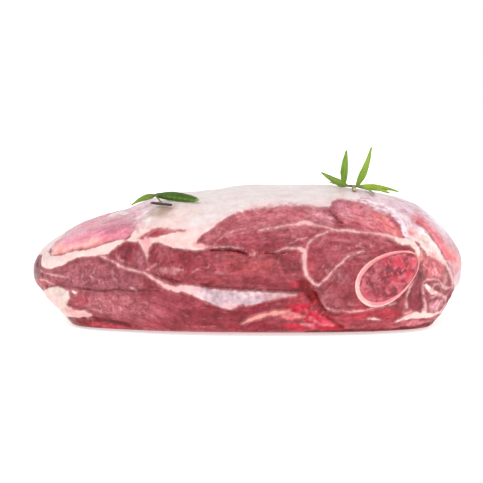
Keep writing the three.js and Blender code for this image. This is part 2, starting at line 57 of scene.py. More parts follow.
# ---- Places on the cut face ----
# Pale tissue between the muscles: its colour, and its points as (x, height, half width)
SEAMS = {
    "eye": ("seam_pink", [
        (7, 64.5, 0.2), (15, 66, 0.4), (25, 67.5, 0.55), (30, 67.5, 0.7), (34, 69, 1.3), (38, 68, 0.8),
        (47, 66.5, 0.6), (56, 64.5, 0.6), (62, 64.5, 0.65), (68, 63.5, 0.7), (80.5, 62, 0.75),
        (87, 60, 0.9), (91.5, 58.2, 1.3),
    ]),
    "junction": ("seam_cream", [
        (91.5, 58.2, 1.2), (95.5, 57.6, 1.9), (100, 56.3, 2.1), (102.8, 53.4, 1.6), (104, 50, 0.9),
        (104.4, 45, 0.5),
    ]),
    "eye_under": ("seam_pink", [
        (-31, 56.6, 0.8), (-25, 55.6, 0.7), (-20, 55, 0.5), (-13, 54.9, 0.45), (-6, 54.6, 0.4),
        (-3, 53.8, 0.2),
    ]),
    "eye_point": ("seam_pink", [(-19.3, 55, 0.5), (-19, 57, 0.2)]),
    "pad_lead": ("seam_pink", [(17, 52.6, 0.15), (24, 54.6, 0.3), (29, 54.6, 0.6), (32.5, 54.2, 1)]),
    "pad_upper": ("seam_pink", [
        (35.5, 54, 0.7), (37, 57.5, 0.45), (41.5, 61, 0.45), (47, 63.2, 0.4), (52, 65, 0.3),
    ]),
    "pad_left": ("seam_pink", [
        (32, 54.2, 0.9), (34.8, 52.5, 1.3), (34.2, 48.5, 1.35), (34.6, 43, 1.0), (36, 37.5, 0.9),
        (39.5, 33.4, 0.95), (43, 32.4, 0.9),
    ]),
    "pad_inner": ("seam_pink", [
        (43, 32.4, 0.8), (47.5, 36.4, 0.5), (53.5, 43, 0.45), (58.5, 48, 0.5), (64, 51, 0.5),
        (70, 52.4, 0.2),
    ]),
    "diagonal": ("seam_pink", [
        (-89.5, 47.5, 0.3), (-86.5, 46.7, 0.9), (-84, 45.5, 0.3), (-80.5, 44, 0.4), (-78.3, 42.8, 1.1),
        (-75, 41.6, 0.5), (-70, 40, 0.6), (-65, 39, 0.4), (-61, 37.8, 0.7), (-57, 35.2, 1),
    ]),
    "diagonal_low": ("fat_pink", [
        (-57, 35.2, 1), (-52.5, 32.4, 1.2), (-47, 29.9, 1.5), (-42, 28.8, 2.1),
    ]),
    "notch": ("seam_pink", [(-61.4, 58, 1.9), (-60.7, 54, 1), (-60.2, 50, 0.5), (-60, 45, 0.15)]),
    "fork": ("seam_pink", [(-60.3, 40, 0.3), (-58, 42, 0.35), (-55, 44.5, 0.15)]),
    "nose_upper": ("seam_pink", [
        (-130.5, 33.5, 0.2), (-124, 32.6, 0.3), (-118, 32.6, 0.25), (-111, 33, 0.15),
    ]),
    "nose_lower": ("seam_pink", [(-132, 27.4, 0.3), (-127, 28.2, 0.4), (-121, 26.8, 0.4)]),
    "shank_bead": ("seam_cream", [(-107.6, 24.6, 0.6), (-106, 23.4, 1.0), (-104.6, 24, 0.4)]),
    "shank_bead_right": ("seam_pink", [(-70.5, 29, 0.3), (-68.5, 28.6, 0.5), (-67.4, 27.4, 0.4)]),
    "shank_low": ("seam_pink", [(-95.5, 14.6, 0.4), (-92, 14, 0.35), (-89, 12.4, 0.4)]),
    "under_bone": ("seam_pink", [
        (47, 18.6, 0.2), (54, 16.4, 0.3), (62, 16, 0.4), (70, 16.7, 0.35), (83, 18.6, 0.3),
        (90, 20.4, 0.2),
    ]),
    "low_fleck": ("seam_cream", [(73, 10.9, 0.35), (77, 11.1, 0.8), (80.6, 10, 0.4)]),
    "red_edge": ("salmon_light", [
        (-3, 8.8, 0.5), (3, 11.2, 1), (9, 13.2, 1.2), (15, 14.7, 1.1), (20.5, 15.7, 0.8),
        (26, 16.3, 0.5),
    ]),
    "bone_side": ("seam_pink", [(101, 33, 0.3), (98.4, 29, 0.5), (97, 23, 0.4), (97, 16.5, 0.3)]),
    "swirl": ("seam_pink", [
        (107.8, 24, 0.4), (107.2, 28.4, 0.45), (107.9, 31.4, 0.5), (110, 33, 0.6), (113, 33.1, 0.6),
        (117, 32.2, 0.7), (120, 29.6, 0.7), (122.4, 26.2, 0.75), (125.4, 24.4, 0.8), (128.4, 24.4, 0.9),
    ]),
    "swirl_heart": ("seam_cream", [
        (109.6, 29.4, 0.9), (111, 27.4, 1.5), (113.6, 25.2, 1.7), (117, 23.8, 1.3), (121, 21.7, 1),
        (124.3, 19, 0.8),
    ]),
    "swirl_loop": ("seam_pink", [
        (113.4, 26, 0.5), (115, 29.2, 0.6), (117.6, 29.8, 0.6), (119.2, 27.6, 0.4),
    ]),
    "swirl_branch": ("seam_pink", [(121, 21.7, 0.7), (116.6, 22.6, 0.5), (113.2, 21.6, 0.4)]),
    "swirl_down": ("seam_pink", [
        (124.3, 19, 0.7), (124.2, 15.4, 0.6), (122.6, 12.4, 0.7), (120, 10.4, 0.8),
    ]),
    "column": ("seam_pink", [
        (107.3, 22.6, 0.4), (109.2, 19.4, 0.9), (109.3, 16, 1.2), (108.6, 12.4, 1.6),
    ]),
    "low_strip": ("seam_cream", [
        (90.5, 8.3, 0.4), (95, 10, 1.1), (99.5, 11.4, 2), (105, 11, 2), (110.5, 10.6, 1.9),
        (115, 9.8, 1.3), (120.5, 10.4, 1),
    ]),
    "low_blob": ("salmon_light", [(96.3, 13.6, 1.0), (100, 14.2, 0.8)]),
    "wedge_foot": ("seam_pink", [(128.6, 24.4, 0.9), (130, 22.4, 0.8)]),
    "ridge": ("seam_lilac", [
        (67, 81, 0.4), (71, 79.4, 0.8), (76, 77.4, 0.9), (80, 75.9, 0.8), (84, 75.4, 0.7),
        (88, 73.4, 0.9), (91, 70.4, 1), (94.3, 66, 0.9), (96, 61, 0.8), (96.4, 58.6, 0.6),
    ]),
}

# Outlines of the pale areas
FAT_CAP = [
    (-142, 120), (-142, 40), (-127, 44), (-122.6, 50), (-114.5, 57.2), (-106, 61), (-96.5, 63.8),
    (-90, 65.6), (-83, 67.2), (-76, 68), (-71, 67), (-68.8, 65), (-69, 62.5), (-71, 59.6), (-74, 57.8),
    (-78, 56.2), (-84, 51.5), (-79, 53.8), (-72.5, 57.2), (-66.5, 56.8), (-64, 54), (-62.4, 51),
    (-60.5, 47.8), (-59.4, 51.5), (-58, 55.5), (-56, 57.2), (-52.5, 57), (-48.5, 55.5), (-45, 54.2),
    (-40, 54), (-35.5, 53.2), (-30.5, 52.8), (-26, 53.6), (-22, 54.6), (-30.3, 57.3), (-30, 59),
    (-26.5, 62.5), (-20, 66.6), (-15, 69.8), (-10.5, 72), (-5.5, 73.8), (0, 75), (11.5, 76.5),
    (26.5, 77.4), (39.5, 77), (50.5, 76.4), (52.5, 79.4), (57, 80.4), (62, 80.2), (66, 79.2),
    (71, 79.4), (73, 120),
]
CREAM_WEDGE = [
    (-131, 46.5), (-126, 45.7), (-122.5, 44), (-116.5, 45.6), (-109.5, 48), (-103, 50), (-96.5, 51.2),
    (-90, 53.6), (-85.5, 55.2), (-80.5, 56.7), (-74, 58), (-78.5, 54), (-82, 51.5), (-84.5, 48.8),
    (-89.5, 47.6), (-97.5, 46.6), (-105, 45.2), (-109, 43.6), (-113, 40.6), (-117.5, 38.4),
    (-121.5, 37), (-126, 36), (-130, 36.8), (-130.6, 40),
]
TAIL = [
    (-134, 18), (-129, 21.4), (-123.5, 24.7), (-118, 26), (-113.5, 25.2), (-110, 24.2), (-109.4, 20),
    (-111, 17), (-112, 15.4), (-110, 13.8), (-104.5, 13), (-99, 13.2), (-96.3, 11), (-95.6, 9.4),
    (-98, 8.2), (-101, 9.2), (-104, 8), (-110, 8.4), (-116, 6), (-124, 8), (-132, 14),
]
DOME_WEDGE = [
    (103.6, 57.5), (104.2, 61), (109, 61.6), (111.5, 59.6), (115, 55.6), (119, 50), (123.5, 42.6),
    (127, 36), (129.5, 30), (130.6, 25.5), (129.2, 22.8), (128, 26.6), (127, 31.4), (123.5, 38.8),
    (119, 43), (114.5, 46), (109.5, 47.6), (107.6, 51), (105, 54.6),
]
SILVERSKIN = [
    (-43, 31), (-38.5, 31.8), (-34.5, 31.6), (-29.5, 31), (-24.5, 30), (-15, 29.2), (-7, 28.6),
    (9, 28.2), (17, 27.7), (23, 27.2), (29.5, 26.8), (29.5, 25.7), (24.5, 25.4), (20, 24.5), (15, 23),
    (6.5, 21), (2, 20), (-0.5, 19.5), (-2.5, 20.8), (-4, 20), (-6.5, 18.2), (-9, 17.2), (-13, 17.6),
    (-20, 20), (-28.5, 23.6), (-33, 25.8), (-37.5, 27.4), (-43, 28.4),
]
# The right end beyond the ridge and the cream wedge, under a thin membrane
DOME = [
    (67, 120), (68.5, 81.5), (76, 77.6), (84, 75.6), (88.5, 73), (92, 69.4), (95.5, 64), (96.6, 59),
    (99, 57.4), (104, 56), (109, 61.8), (115, 56), (119, 50.4), (123.5, 43), (127, 36.4), (129.5, 30.4),
    (130.5, 25), (131, 21), (150, 21), (150, 120),
]
# Muscle inside the fat cap: the flap at the upper left, and a sliver beside it
FLAP = [
    (-124, 44.2), (-116.5, 46.2), (-109.5, 48.6), (-103, 50.6), (-96.5, 51.8), (-90, 54.2),
    (-85.5, 55.8), (-79, 57.2), (-74, 58.6), (-71, 60.2), (-69.4, 63), (-69.6, 65.4), (-72.5, 67.6),
    (-78, 68.4), (-90, 66.4), (-106, 62), (-115, 58.2), (-124, 50.6),
]
SLIVER = [
    (-66, 58.6), (-62.5, 61), (-58.5, 63.4), (-54.5, 65.2), (-49.5, 65.4), (-45, 65), (-36.5, 64.4),
    (-45, 63), (-50.5, 61.6), (-57.5, 60), (-61.5, 59.2),
]
# The pale areas, each with its own colour
PALE_AREAS = [
    (FAT_CAP, "fat"),
    (CREAM_WEDGE, "fat_cream"),
    (TAIL, "fat_white"),
    (SILVERSKIN, "sheet_lilac"),
    (DOME, "fell"),
    (DOME_WEDGE, "fat_cream"),
]

# Soft patches of colour on the lean: (x, height, half length, half height, turn in degrees, colour, strength)
LEAN_PATCHES = [
    # shank muscle at the left
    (-92, 33, 36, 17, 0, "lean_mauve", 1.0),
    (-116, 34, 14, 5, 8, "lean_rose", 0.6),
    (-99, 41, 15, 3.5, 10, "lean_rose", 0.45),
    (-82, 38, 10, 4.5, -20, "lean_dark", 0.4),
    (-94, 30.5, 17, 3.2, 2, "lean_dark", 0.35),
    (-79, 17, 32, 9, -3, "lean_rose", 0.95),
    (-90, 18.5, 9, 4.5, 0, "lean_rosy", 0.55),
    (-103, 19, 5, 4, 0, "lean_red", 0.45),
    (-66, 13, 14, 4.5, 10, "lean_rosy", 0.35),
    (-48, 19, 14, 9, -20, "lean_ruby", 0.6),
    # slab below it
    # Painted shadow: the slab's left end is drawn dark where it meets the floor
    (-100, 4.6, 15, 4.4, 0, "dark_blood_and_shade", 0.75),
    (-84, 3.6, 16, 2.8, 0, "lean_red", 0.85),
    # the two blocks above it
    (-76, 50, 9, 6, 15, "lean_dark", 0.95),
    (-65.5, 47.5, 5, 8, 0, "lean_mauve", 0.95),
    (-77.5, 46.6, 3.6, 1.6, -25, "lean_pale", 0.55),
    (-54.5, 50.5, 5.5, 8, 8, "lean_deep", 0.55),
    (-45.5, 47.5, 8, 8, 0, "lean", 0.8),
    (-50.5, 51, 6, 6, 0, "lean_rose", 0.6),
    (-47.5, 40.2, 10, 3.4, 3, "lean_pale", 0.85),
    (-52.6, 50, 4, 1.3, 88, "lean_pale", 0.4),
    # long middle muscle
    (-34, 46, 8, 9, 0, "lean_deep", 0.5),
    (-17.5, 47.5, 4.5, 1.8, 85, "lean_rose", 0.35),
    (-17, 41, 7, 2.4, -10, "lean_rose", 0.3),
    (4, 45.5, 19, 6, -3, "lean_salmon", 0.85),
    (8, 34, 22, 3.6, -1, "lean_deep", 0.85),
    (27, 36.4, 8, 3, 4, "lean_ruby", 0.6),
    (28, 45.4, 5.4, 4.6, 0, "lean_dark", 0.8),
    (-23.5, 32.6, 4.4, 1.7, 4, "dark_blood_and_shade", 0.9),
    (-30, 40.6, 2.4, 0.8, 5, "marbling", 0.5),
    # eye muscle
    (10, 68, 46, 12, 3, "lean_rosy", 1.0),
    (-22, 59.5, 9, 4.5, 38, "lean_rose", 0.85),
    # Painted shade: a dark spot under the fat's edge at the eye muscle's left tip
    (-27.4, 60.8, 2.6, 1.6, 50, "dark_lean_and_shade", 0.5),
    (7, 58.5, 29, 6, 2, "lean_ruby", 0.9),
    (28, 60, 9, 4, 14, "lean_mauve", 0.5),
    # Painted highlight: the top band of the eye muscle is drawn lighter, where the light from above falls on
    # it
    (14, 73, 24, 4, 3, "bright_rose_and_highlight", 0.6),
    (31, 73, 8, 3.6, 0, "bright_rose_and_highlight", 0.7),
    (44, 72, 10, 5, -6, "pale_rose_and_highlight", 0.55),
    (46, 60.8, 9, 3, -24, "lean_ruby", 0.7),
    # upper right muscle, salmon to its right
    (72, 70, 24, 10, -28, "bright_rose_and_highlight", 0.85),
    (59, 74.5, 8, 4, -16, "rose_pink", 0.9),
    # Painted highlight: a pale wet gleam along the top of the upper right muscle
    (74, 74.2, 8, 2.4, -18, "pale_rose_and_highlight", 0.6),
    (84, 69, 9, 4.4, -34, "salmon", 0.75),
    (91.5, 62.6, 5.4, 3.2, -46, "salmon", 1.0),
    (83, 74.4, 7, 1.8, -16, "fell", 0.7),
    (89.2, 69.6, 3, 2.2, -48, "flap_mauve", 0.5),
    # pad under the eye
    (54, 51, 20, 12, 0, "lean_ruby", 0.95),
    (66, 58.6, 24, 3.2, -7, "lean_rosy", 0.7),
    (37, 45, 2.4, 9, 4, "lean_red", 0.6),
    (58, 54, 9, 4, 0, "lean_rose", 0.4),
    (44, 26, 11, 9, -20, "lean_mauve", 0.7),
    (55, 38, 9, 6, -35, "lean_mauve", 0.85),
    (54, 21.8, 10, 3, -6, "lean_rosy", 0.5),
    # under the bone
    (76, 12, 26, 8, 0, "lean_red", 0.8),
    (66, 7.4, 24, 2.4, 0, "lean_rose", 0.5),
    (52, 14, 7, 1.8, -4, "dark_blood_and_shade", 0.6),
    (70, 13.4, 16, 1, -2, "lean_deep", 0.6),
    (78, 14, 20, 3, 0, "blood", 0.3),
    (104, 5.6, 20, 3.4, 0, "bright_rose_and_highlight", 0.85),
    (91, 5.4, 4.4, 1.1, 0, "dark_blood_and_shade", 0.65),
    # below the silverskin
    (-20, 14, 28, 9, 0, "lean_deep", 0.8),
    (-14, 12.5, 14, 5, 0, "dark_lean_and_shade", 0.3),
    (10, 18.4, 18, 3.8, 12, "lean_crimson", 0.95),
    (4, 6, 20, 4.5, 0, "lean_crimson", 0.7),
    (31, 22.6, 8, 3.4, -4, "lean_red", 0.9),
    # blood at the middle of the base
    (27, 13.4, 8, 3.4, 4, "salmon", 0.9),
    (31, 18.2, 9, 2.2, 4, "blood", 0.9),
    (43, 11, 10, 6.5, -14, "blood", 0.95),
    (33, 13, 3.4, 1.7, 0, "salmon_light", 0.85),
    (48, 9, 4.4, 2.4, -24, "blood_pink", 0.8),
    (40, 6, 4, 1.6, 10, "blood_pink", 0.6),
    (53, 5.4, 10, 3, 0, "blood", 0.85),
    (30, 5.5, 10, 3, 0, "blood", 0.7),
    # right end
    (104.4, 27, 5.6, 13.5, 7, "lean_dark", 1.0),
    (106.4, 38.4, 4, 2.2, 60, "dark_lean_and_shade", 0.7),
    (116, 39.5, 10, 7.5, -42, "lobe", 1.0),
    (123.6, 31, 3.4, 5, 8, "lobe_brown", 0.7),
    (106, 48.6, 3.2, 6, 0, "salmon_light", 0.85),
    (109.4, 25, 2.6, 4.5, 0, "lean_rose", 0.9),
    (117, 15.6, 7, 5, 0, "pale_rose_and_highlight", 0.95),
    (117.4, 20, 4.4, 1.3, 8, "lean_dark", 0.75),
    (115.6, 27.6, 2.6, 1.3, 80, "lean_dark", 0.7),
    (109, 31, 1.8, 1.2, 0, "lean_dark", 0.8),
    (121, 25.6, 2.4, 1.8, 0, "lean_mauve", 0.6),
    # tip at the left
    # Painted shade: the left tip is drawn dark where it turns away into shadow
    (-138, 34, 7.5, 17, -10, "nose", 1.0),
    (-133, 36.5, 3, 7, -20, "lean_dark", 0.6),
    (-130.6, 45, 3, 3, -40, "nose_brown", 0.8),
    (-126, 29.6, 6, 2.6, 0, "lean_rosy", 0.5),
    (-129, 24.6, 6, 2.2, 0, "lean_red", 0.9),
    (-124.6, 25.8, 2.6, 0.9, 0, "dark_blood_and_shade", 0.7),
    (-117, 26.4, 4, 0.8, -10, "dark_lean_and_shade", 0.55),
]
# The pink flap at the upper left, drawn over the lean
FLAP_PATCHES = [
    (-95, 58, 42, 18, 20, "flap_pink", 1.0),
    (-104, 51.5, 22, 4, 18, "flap_low", 0.9),
    (-120, 49.5, 9, 4.5, 38, "flap_low", 0.9),
    (-79, 64.6, 12, 2.6, 10, "flap_mauve", 0.75),
    (-88, 61.4, 14, 0.9, 16, "flap_mauve", 0.35),
    (-113, 57.6, 13, 1.8, 38, "flap_lilac", 0.6),
    (-92, 65.6, 16, 1.2, 14, "flap_lilac", 0.5),
    (-78.8, 57.9, 2.4, 1, 12, "lean_red", 0.7),
]
# Lines of colour on the lean: points, half width, colour, strength. The deep lean lines are painted shade in
# folds and under edges; the dark blood lines are partly blood in creases and partly painted shade
LEAN_LINES = [
    ([(-40, 49.5), (-38, 45), (-34, 41)], 1.5, "dark_lean_and_shade", 0.4),
    ([(-28, 52), (-25.5, 49), (-24, 45)], 1.5, "dark_lean_and_shade", 0.35),
    ([(-105, 27), (-100, 26.4), (-93, 25.6), (-84, 26.6), (-77.5, 27.8), (-71, 27), (-58, 28),
        (-54, 28)], 0.7, "dark_lean_and_shade", 0.7),
    ([(-101, 25), (-92, 24.4), (-82, 25.2)], 0.5, "lean_rosy", 0.6),
    ([(-89, 45.4), (-80, 40.6), (-73, 38.6), (-64, 36.8)], 1.6, "dark_lean_and_shade", 0.3),
    ([(-54.5, 37), (-49.5, 35), (-43.5, 33.2), (-39, 32.8)], 0.8, "dark_lean_and_shade", 0.85),
    ([(-60, 44.5), (-59, 50), (-57.4, 55)], 1, "dark_lean_and_shade", 0.6),
    # Painted shade in the open slit under the eye muscle
    ([(-21, 53.5), (-15, 53.6), (-9, 53.1), (-5.5, 52.6), (-2.5, 52), (0.5, 51)], 0.45, "dark_blood_and_shade", 1.0),
    ([(11, 52), (16.5, 52.1), (22, 52.2)], 0.6, "dark_blood_and_shade", 0.75),
    ([(-28, 31.9), (-19, 30.7), (-4, 30), (14, 28.8), (32, 28.6)], 1.0, "dark_lean_and_shade", 0.7),
    ([(-46, 54), (-36, 52), (-28, 52.4), (-21, 53)], 1.0, "dark_lean_and_shade", 0.3),
    ([(16.5, 50.5), (19.5, 47.5), (22, 43), (23.5, 40)], 1.0, "dark_lean_and_shade", 0.5),
    ([(33, 33), (35.5, 30), (38, 27.4), (40, 25)], 3.2, "dark_blood_and_shade", 1.0),
    ([(39, 26), (41, 23), (43, 20), (45.4, 16.4)], 2.0, "dark_blood_and_shade", 1.0),
    ([(31, 32.5), (27, 31.5)], 1.2, "blood", 0.6),
    ([(41, 21), (36, 19), (29, 19.4)], 1.4, "blood", 0.8),
    ([(36, 16), (42, 14.6), (47, 10)], 0.9, "blood_pink", 0.7),
    ([(38, 12), (44, 8), (52, 7)], 0.9, "pale_rose_and_highlight", 0.5),
    ([(33, 8), (40, 7.4)], 1, "pale_rose_and_highlight", 0.7),
    ([(46, 14), (52, 9.6), (58, 6)], 0.8, "dark_blood_and_shade", 0.7),
    # Painted shadow along the foot of the cut face where it meets the floor, and a painted dark line over the
    # slab
    ([(36, 2.6), (54, 2.4), (86, 2.4), (104, 3), (118, 5)], 1.5, "dark_blood_and_shade", 0.95),
    ([(-110.5, 6.8), (-103, 8), (-95.5, 8.4), (-88, 7.4), (-79, 6.6), (-71.5, 4.8)], 1.0, "dark_lean_and_shade", 0.9),
    ([(-95.5, 7.6), (-95.5, 3)], 0.5, "lean_rosy", 0.6),
    ([(-112, 1.4), (-90, 1), (-60, 1)], 1.0, "dark_blood_and_shade", 0.7),
    # Painted shade in the fold at the upper right muscle's left edge
    ([(51, 75.2), (53, 72.5), (55, 70.5), (57.4, 68.8)], 0.6, "dark_blood_and_shade", 0.75),
    ([(52.2, 76.8), (54, 78.5), (57, 78.8), (60.5, 78.6), (64, 77.4)], 0.7, "flap_mauve", 0.9),
    ([(69, 70.4), (73, 68), (76.5, 65)], 0.5, "pale_rose_and_highlight", 0.6),
    ([(84, 58.6), (89.5, 57.8), (93.5, 56), (97.5, 53.8)], 0.8, "lean_dark", 0.75),
    ([(88, 56.2), (93, 54.6)], 1.1, "lean_red", 0.5),
    ([(-18.5, 58.5), (-14, 61.5), (-9, 64), (-5.5, 66)], 0.4, "marbling", 0.5),
    ([(25.5, 57.5), (31.5, 60), (36.5, 61)], 0.45, "marbling", 0.6),
    # Painted shadow under the bone's ring
    ([(80, 18.4), (88, 19), (94, 23), (97, 28)], 0.8, "dark_blood_and_shade", 0.55),
    ([(107.5, 43.5), (110, 40.5), (112, 38.5)], 0.5, "seam_pink", 0.6),
    ([(113.5, 43.5), (115.5, 39.5), (117, 34.5)], 0.6, "seam_pink", 0.5),
    ([(99, 8.8), (106, 8.4), (114, 7.4)], 0.5, "lean_red", 0.8),
    ([(103, 50), (101.5, 53)], 0.5, "lean_rose", 0.5),
]
# The slit between the eye muscle and the long one, open and dark
DARK_GAP = [(-21, 53.5), (-15, 53.6), (-9, 53.1), (-5.5, 52.6), (-2.5, 52), (0.5, 51)]
FLAP_LINES = [
    ([(-118, 46.4), (-109.5, 49.4), (-103, 51.2), (-96.5, 52.6), (-90, 54.8)], 0.8, "salmon", 0.45),
    ([(-109, 53.5), (-97, 58.2), (-85, 61), (-73, 62)], 0.5, "flap_mauve", 0.35),
    ([(-100, 60), (-90, 63), (-80, 64.2)], 0.5, "flap_mauve", 0.4),
    ([(-114, 51), (-104, 55.4), (-92, 58.2)], 0.5, "flap_lilac", 0.4),
]
# Streaks in the membranes: red muscle seen through the right end's, and mauve ones beyond the flap
PALE_LINES = [
    ([(103, 70), (107.5, 67.5), (112, 64), (117, 59), (121, 53), (126, 45), (129, 39), (132, 33)], 2.8,
        "dome_red", 0.85),
    ([(106, 67.6), (111, 64), (115.5, 59.4), (119.5, 53.6), (124, 47), (127, 41)], 1.4, "dome_vivid", 0.8),
    ([(-90, 67.6), (-81, 69.8), (-74, 69.6), (-68.6, 67), (-66.4, 62.4)], 0.8, "flap_mauve", 0.5),
    ([(-80, 71.4), (-72, 71.6), (-66, 68.4), (-64, 64.6)], 0.6, "flap_lilac", 0.8),
    ([(105, 66.6), (109, 63.4), (113, 58.8), (116.5, 54.2), (120, 49.4), (123.5, 43.6)], 0.8,
        "lean_red", 0.7),
    ([(125, 49), (128, 44.5), (130.5, 38)], 1.3, "salmon_light", 0.7),
]

# How the muscle fibres run: place on the cut, direction in degrees, and how much longer than thick they show
FIBRES = [
    ((-95, 58), 20, 9),
    ((-95, 33), 4, 5),
    ((-75, 16), -6, 3),
    ((-45, 18), -24, 5),
    ((-72, 49), 80, 3),
    ((-50, 46), 66, 3),
    ((-10, 43), 10, 3.5),
    ((25, 40), -6, 4),
    ((5, 70), 14, 3.5),
    ((10, 59), 6, 5),
    ((42, 66), -24, 3.5),
    ((72, 72), -36, 6),
    ((88, 64), -40, 7),
    ((56, 56), 2, 8),
    ((54, 32), 52, 3.5),
    ((70, 10), 2, 6),
    ((-20, 12), -4, 4),
    ((15, 18), 14, 5),
    ((105, 28), 80, 4),
    ((116, 38), -52, 3.5),
    ((114, 18), 20, 2.5),
    ((120, 58), -50, 4),
]

# Where small pale flecks show, partly fat and partly painted wet glints: (x, height, half length, half
# height, turn, strength)
FLECKS_AND_GLINTS = [
    (-95, 36, 24, 9, 4, 0.9), (-82, 17, 30, 8, 0, 0.8), (-77, 47, 6, 3, -20, 0.8),
    (-47, 41, 12, 4.5, 4, 1.0), (-20, 42, 12, 5, 0, 0.6), (3, 52, 8, 2.2, -4, 1.0),
    (0, 67, 26, 6, 12, 0.5), (44, 72, 12, 5, 0, 0.8), (68, 72, 14, 6, -24, 0.7),
    (64, 57, 26, 5, -4, 0.7), (52, 40, 10, 7, -35, 0.6), (54, 20, 12, 4, 0, 0.8),
    (34, 14, 16, 5, 0, 0.6), (-8, 25, 36, 7, -2, 1.0), (114, 26, 12, 9, 0, 0.6),
    (84, 77, 16, 4, -20, 0.7), (112, 62, 34, 16, -42, 0.9), (-66, 70, 12, 6, -30, 0.7),
    (-50, 57, 14, 5, 0, 0.35), (-108, 18, 16, 12, 0, 0.4),
]

# Colours painted on the pale areas: (x, height, half length, half height, turn, colour, strength)
PALE_PATCHES = [
    (-126, 42, 6, 6, 30, "fat_white", 0.5),
    (-103, 10.5, 13, 3.4, -12, "fat_pink", 0.95),
    (-93, 11.5, 5, 2.6, 0, "fat_cream", 0.7),
    (-122, 13, 12, 3.5, -35, "fat_pink", 0.6),
    (-50, 60, 30, 9, 0, "fat_low", 0.9),
    (-44, 57.4, 14, 3, 4, "fat_pink", 0.25),
    (-71, 67.5, 7, 5, 50, "flap_lilac", 0.75),
    # Painted shadow: grey where the left sprig shades the fat
    (-64, 74.5, 8, 3, -10, "grey_fat_and_shadow", 0.8),
    (-70, 69.5, 9, 3.4, -20, "grey_fat_and_shadow", 0.6),
    (-46, 70, 22, 6, 20, "fat_low", 0.45),
    (113, 48.6, 5, 2.6, -30, "fat_rose", 0.8),
    (-122, 19, 9, 2, -38, "fat_pink", 0.6),
    (125, 36, 4, 12, 25, "fat_pink", 0.7),
    (-37, 29, 12, 4.4, -14, "fat_pink", 0.85),
    (17, 26, 17, 3, 4, "sheet_rose", 0.9),
    (-10, 19, 9, 2, 0, "fat_rose", 0.5),
    (132, 40, 8, 22, 20, "dome_rose", 0.8),
    (126, 64, 8, 14, 40, "dome_pale", 0.9),
    (102, 74, 12, 5, -25, "dome_pink", 0.8),
    (101, 62, 4, 3, 0, "fat_rose", 0.9),
    (100, 11.4, 6, 1.6, 0, "fat_rose", 0.6),
    (112, 10, 5, 1.4, 0, "fat_rose", 0.6),
    (134, 28, 5, 5, 0, "fell", 0.6),
]
# Where fat thins out into muscle without a clear edge: as the patches above, with no colour
SOFT_EDGES = [
    (-71, 66, 9, 6, 0, None, 0.7),
    (24, 77, 34, 3.4, 0, None, 0.55),
    (78, 77, 18, 4, -20, None, 0.55),
]
# The lip of the fat cap, tinged by the muscle below it
LIP_LINE = [
    (-29, 59), (-25, 64), (-14, 70.6), (-2, 75.4), (10, 77.4), (24, 78.4), (42, 78), (52, 79.4),
    (60, 81),
]

# ---- Bone: its sawn end ----
# The oval's middle on the cut face, as (x, height), and how far forward it lies
BONE_AT = (84.8, 36.9)
BONE_FACE_Y = -69.3
# Its turn away from the cut face, its lean to the right, and its half length and half width
BONE_YAW = math.radians(15)
BONE_TILT = math.radians(31)
BONE_HALVES = (22.8, 14.8)
# Negative where the oval narrows to the right; and how far the bone stands out of the meat
BONE_EGG = -0.2
BONE_PROUD = 0.9
# Colours round the ring: (x, height, half length, half height, turn, colour, strength)
RING_PATCHES = [
    (85, 37, 30, 24, 0, "ring_top", 1.0),
    (66, 24, 12, 12, 0, "bone", 1.0),
    (84, 20, 16, 9, 10, "ring_low", 0.7),
    (104, 44, 8, 16, 0, "ring_right", 0.9),
    (96, 56, 12, 6, 20, "ring_right", 0.4),
]
# Colours of the marrow, in the same order
MARROW_PATCHES = [
    (70, 30, 14, 13, 0, "marrow_mauve", 0.9),
    (94, 43, 13, 12, 20, "marrow_red", 0.9),
    (76, 43, 8, 4, 25, "marrow_pale", 0.25),
    (88, 28, 12, 4, 15, "marrow_red", 0.4),
]

# ---- Rosemary ----
# Each leaf and stem: its foot, a point it bends towards, its tip, half width, colour, and colour at the tip
LEFT_LEAVES = [
    ((-58.3, -25, 80.4), (-44.4, -39, 82.2), (-29.6, -46.5, 79.4), 3.1, "leaf_dark", "leaf_grey"),
    ((-57.7, -25, 79.8), (-64.7, -29.5, 80.5), (-73, -28, 74), 2.2, "leaf_olive", "stub"),
    ((-60.6, -31, 75.8), (-53.3, -40.5, 76.3), (-46, -50, 76.8), 1.0, "stub", "stub"),
    ((-58, -24.5, 80), (-55.3, -32.5, 78.3), (-52.6, -40.5, 76.6), 0.7, "twig", "twig"),
]
RIGHT_LEAVES = [
    ((66, -4, 84.5), (57.4, -6.5, 88.6), (48.6, -7, 93.4), 2.9, "leaf_olive", "leaf_olive"),
    ((63.6, -3, 85.2), (64.4, -1, 98), (65.3, 1, 107), 2.9, "leaf", "leaf_olive"),
    ((71.8, -3, 84.2), (78.2, -1.5, 95), (81.6, 2, 109), 2.6, "leaf_bright", "leaf_olive"),
    ((73, -3.5, 84.4), (86.2, -7, 85.4), (98.3, -10, 81.4), 2.3, "leaf_young", "leaf_bright"),
    ((74, -5, 84), (84.4, -10, 84.4), (91.9, -15, 81), 1.9, "leaf_young", "leaf_bright"),
    ((67.4, -3.4, 84.4), (61, 3, 85), (54, 6, 86), 1.4, "leaf_grey", "leaf_grey"),
    ((71, -8, 84.4), (78.5, -17, 85.2), (80.2, -34, 82.3), 1.4, "leaf", "leaf_dark"),
    ((69.6, -4, 84.2), (68.9, -15, 84.2), (68.2, -26, 84.3), 1.4, "twig", "cut_wood"),
    ((65, -3.6, 84.3), (69.8, -4, 84.2), (74.5, -4.4, 84.1), 0.9, "twig", "twig"),
]


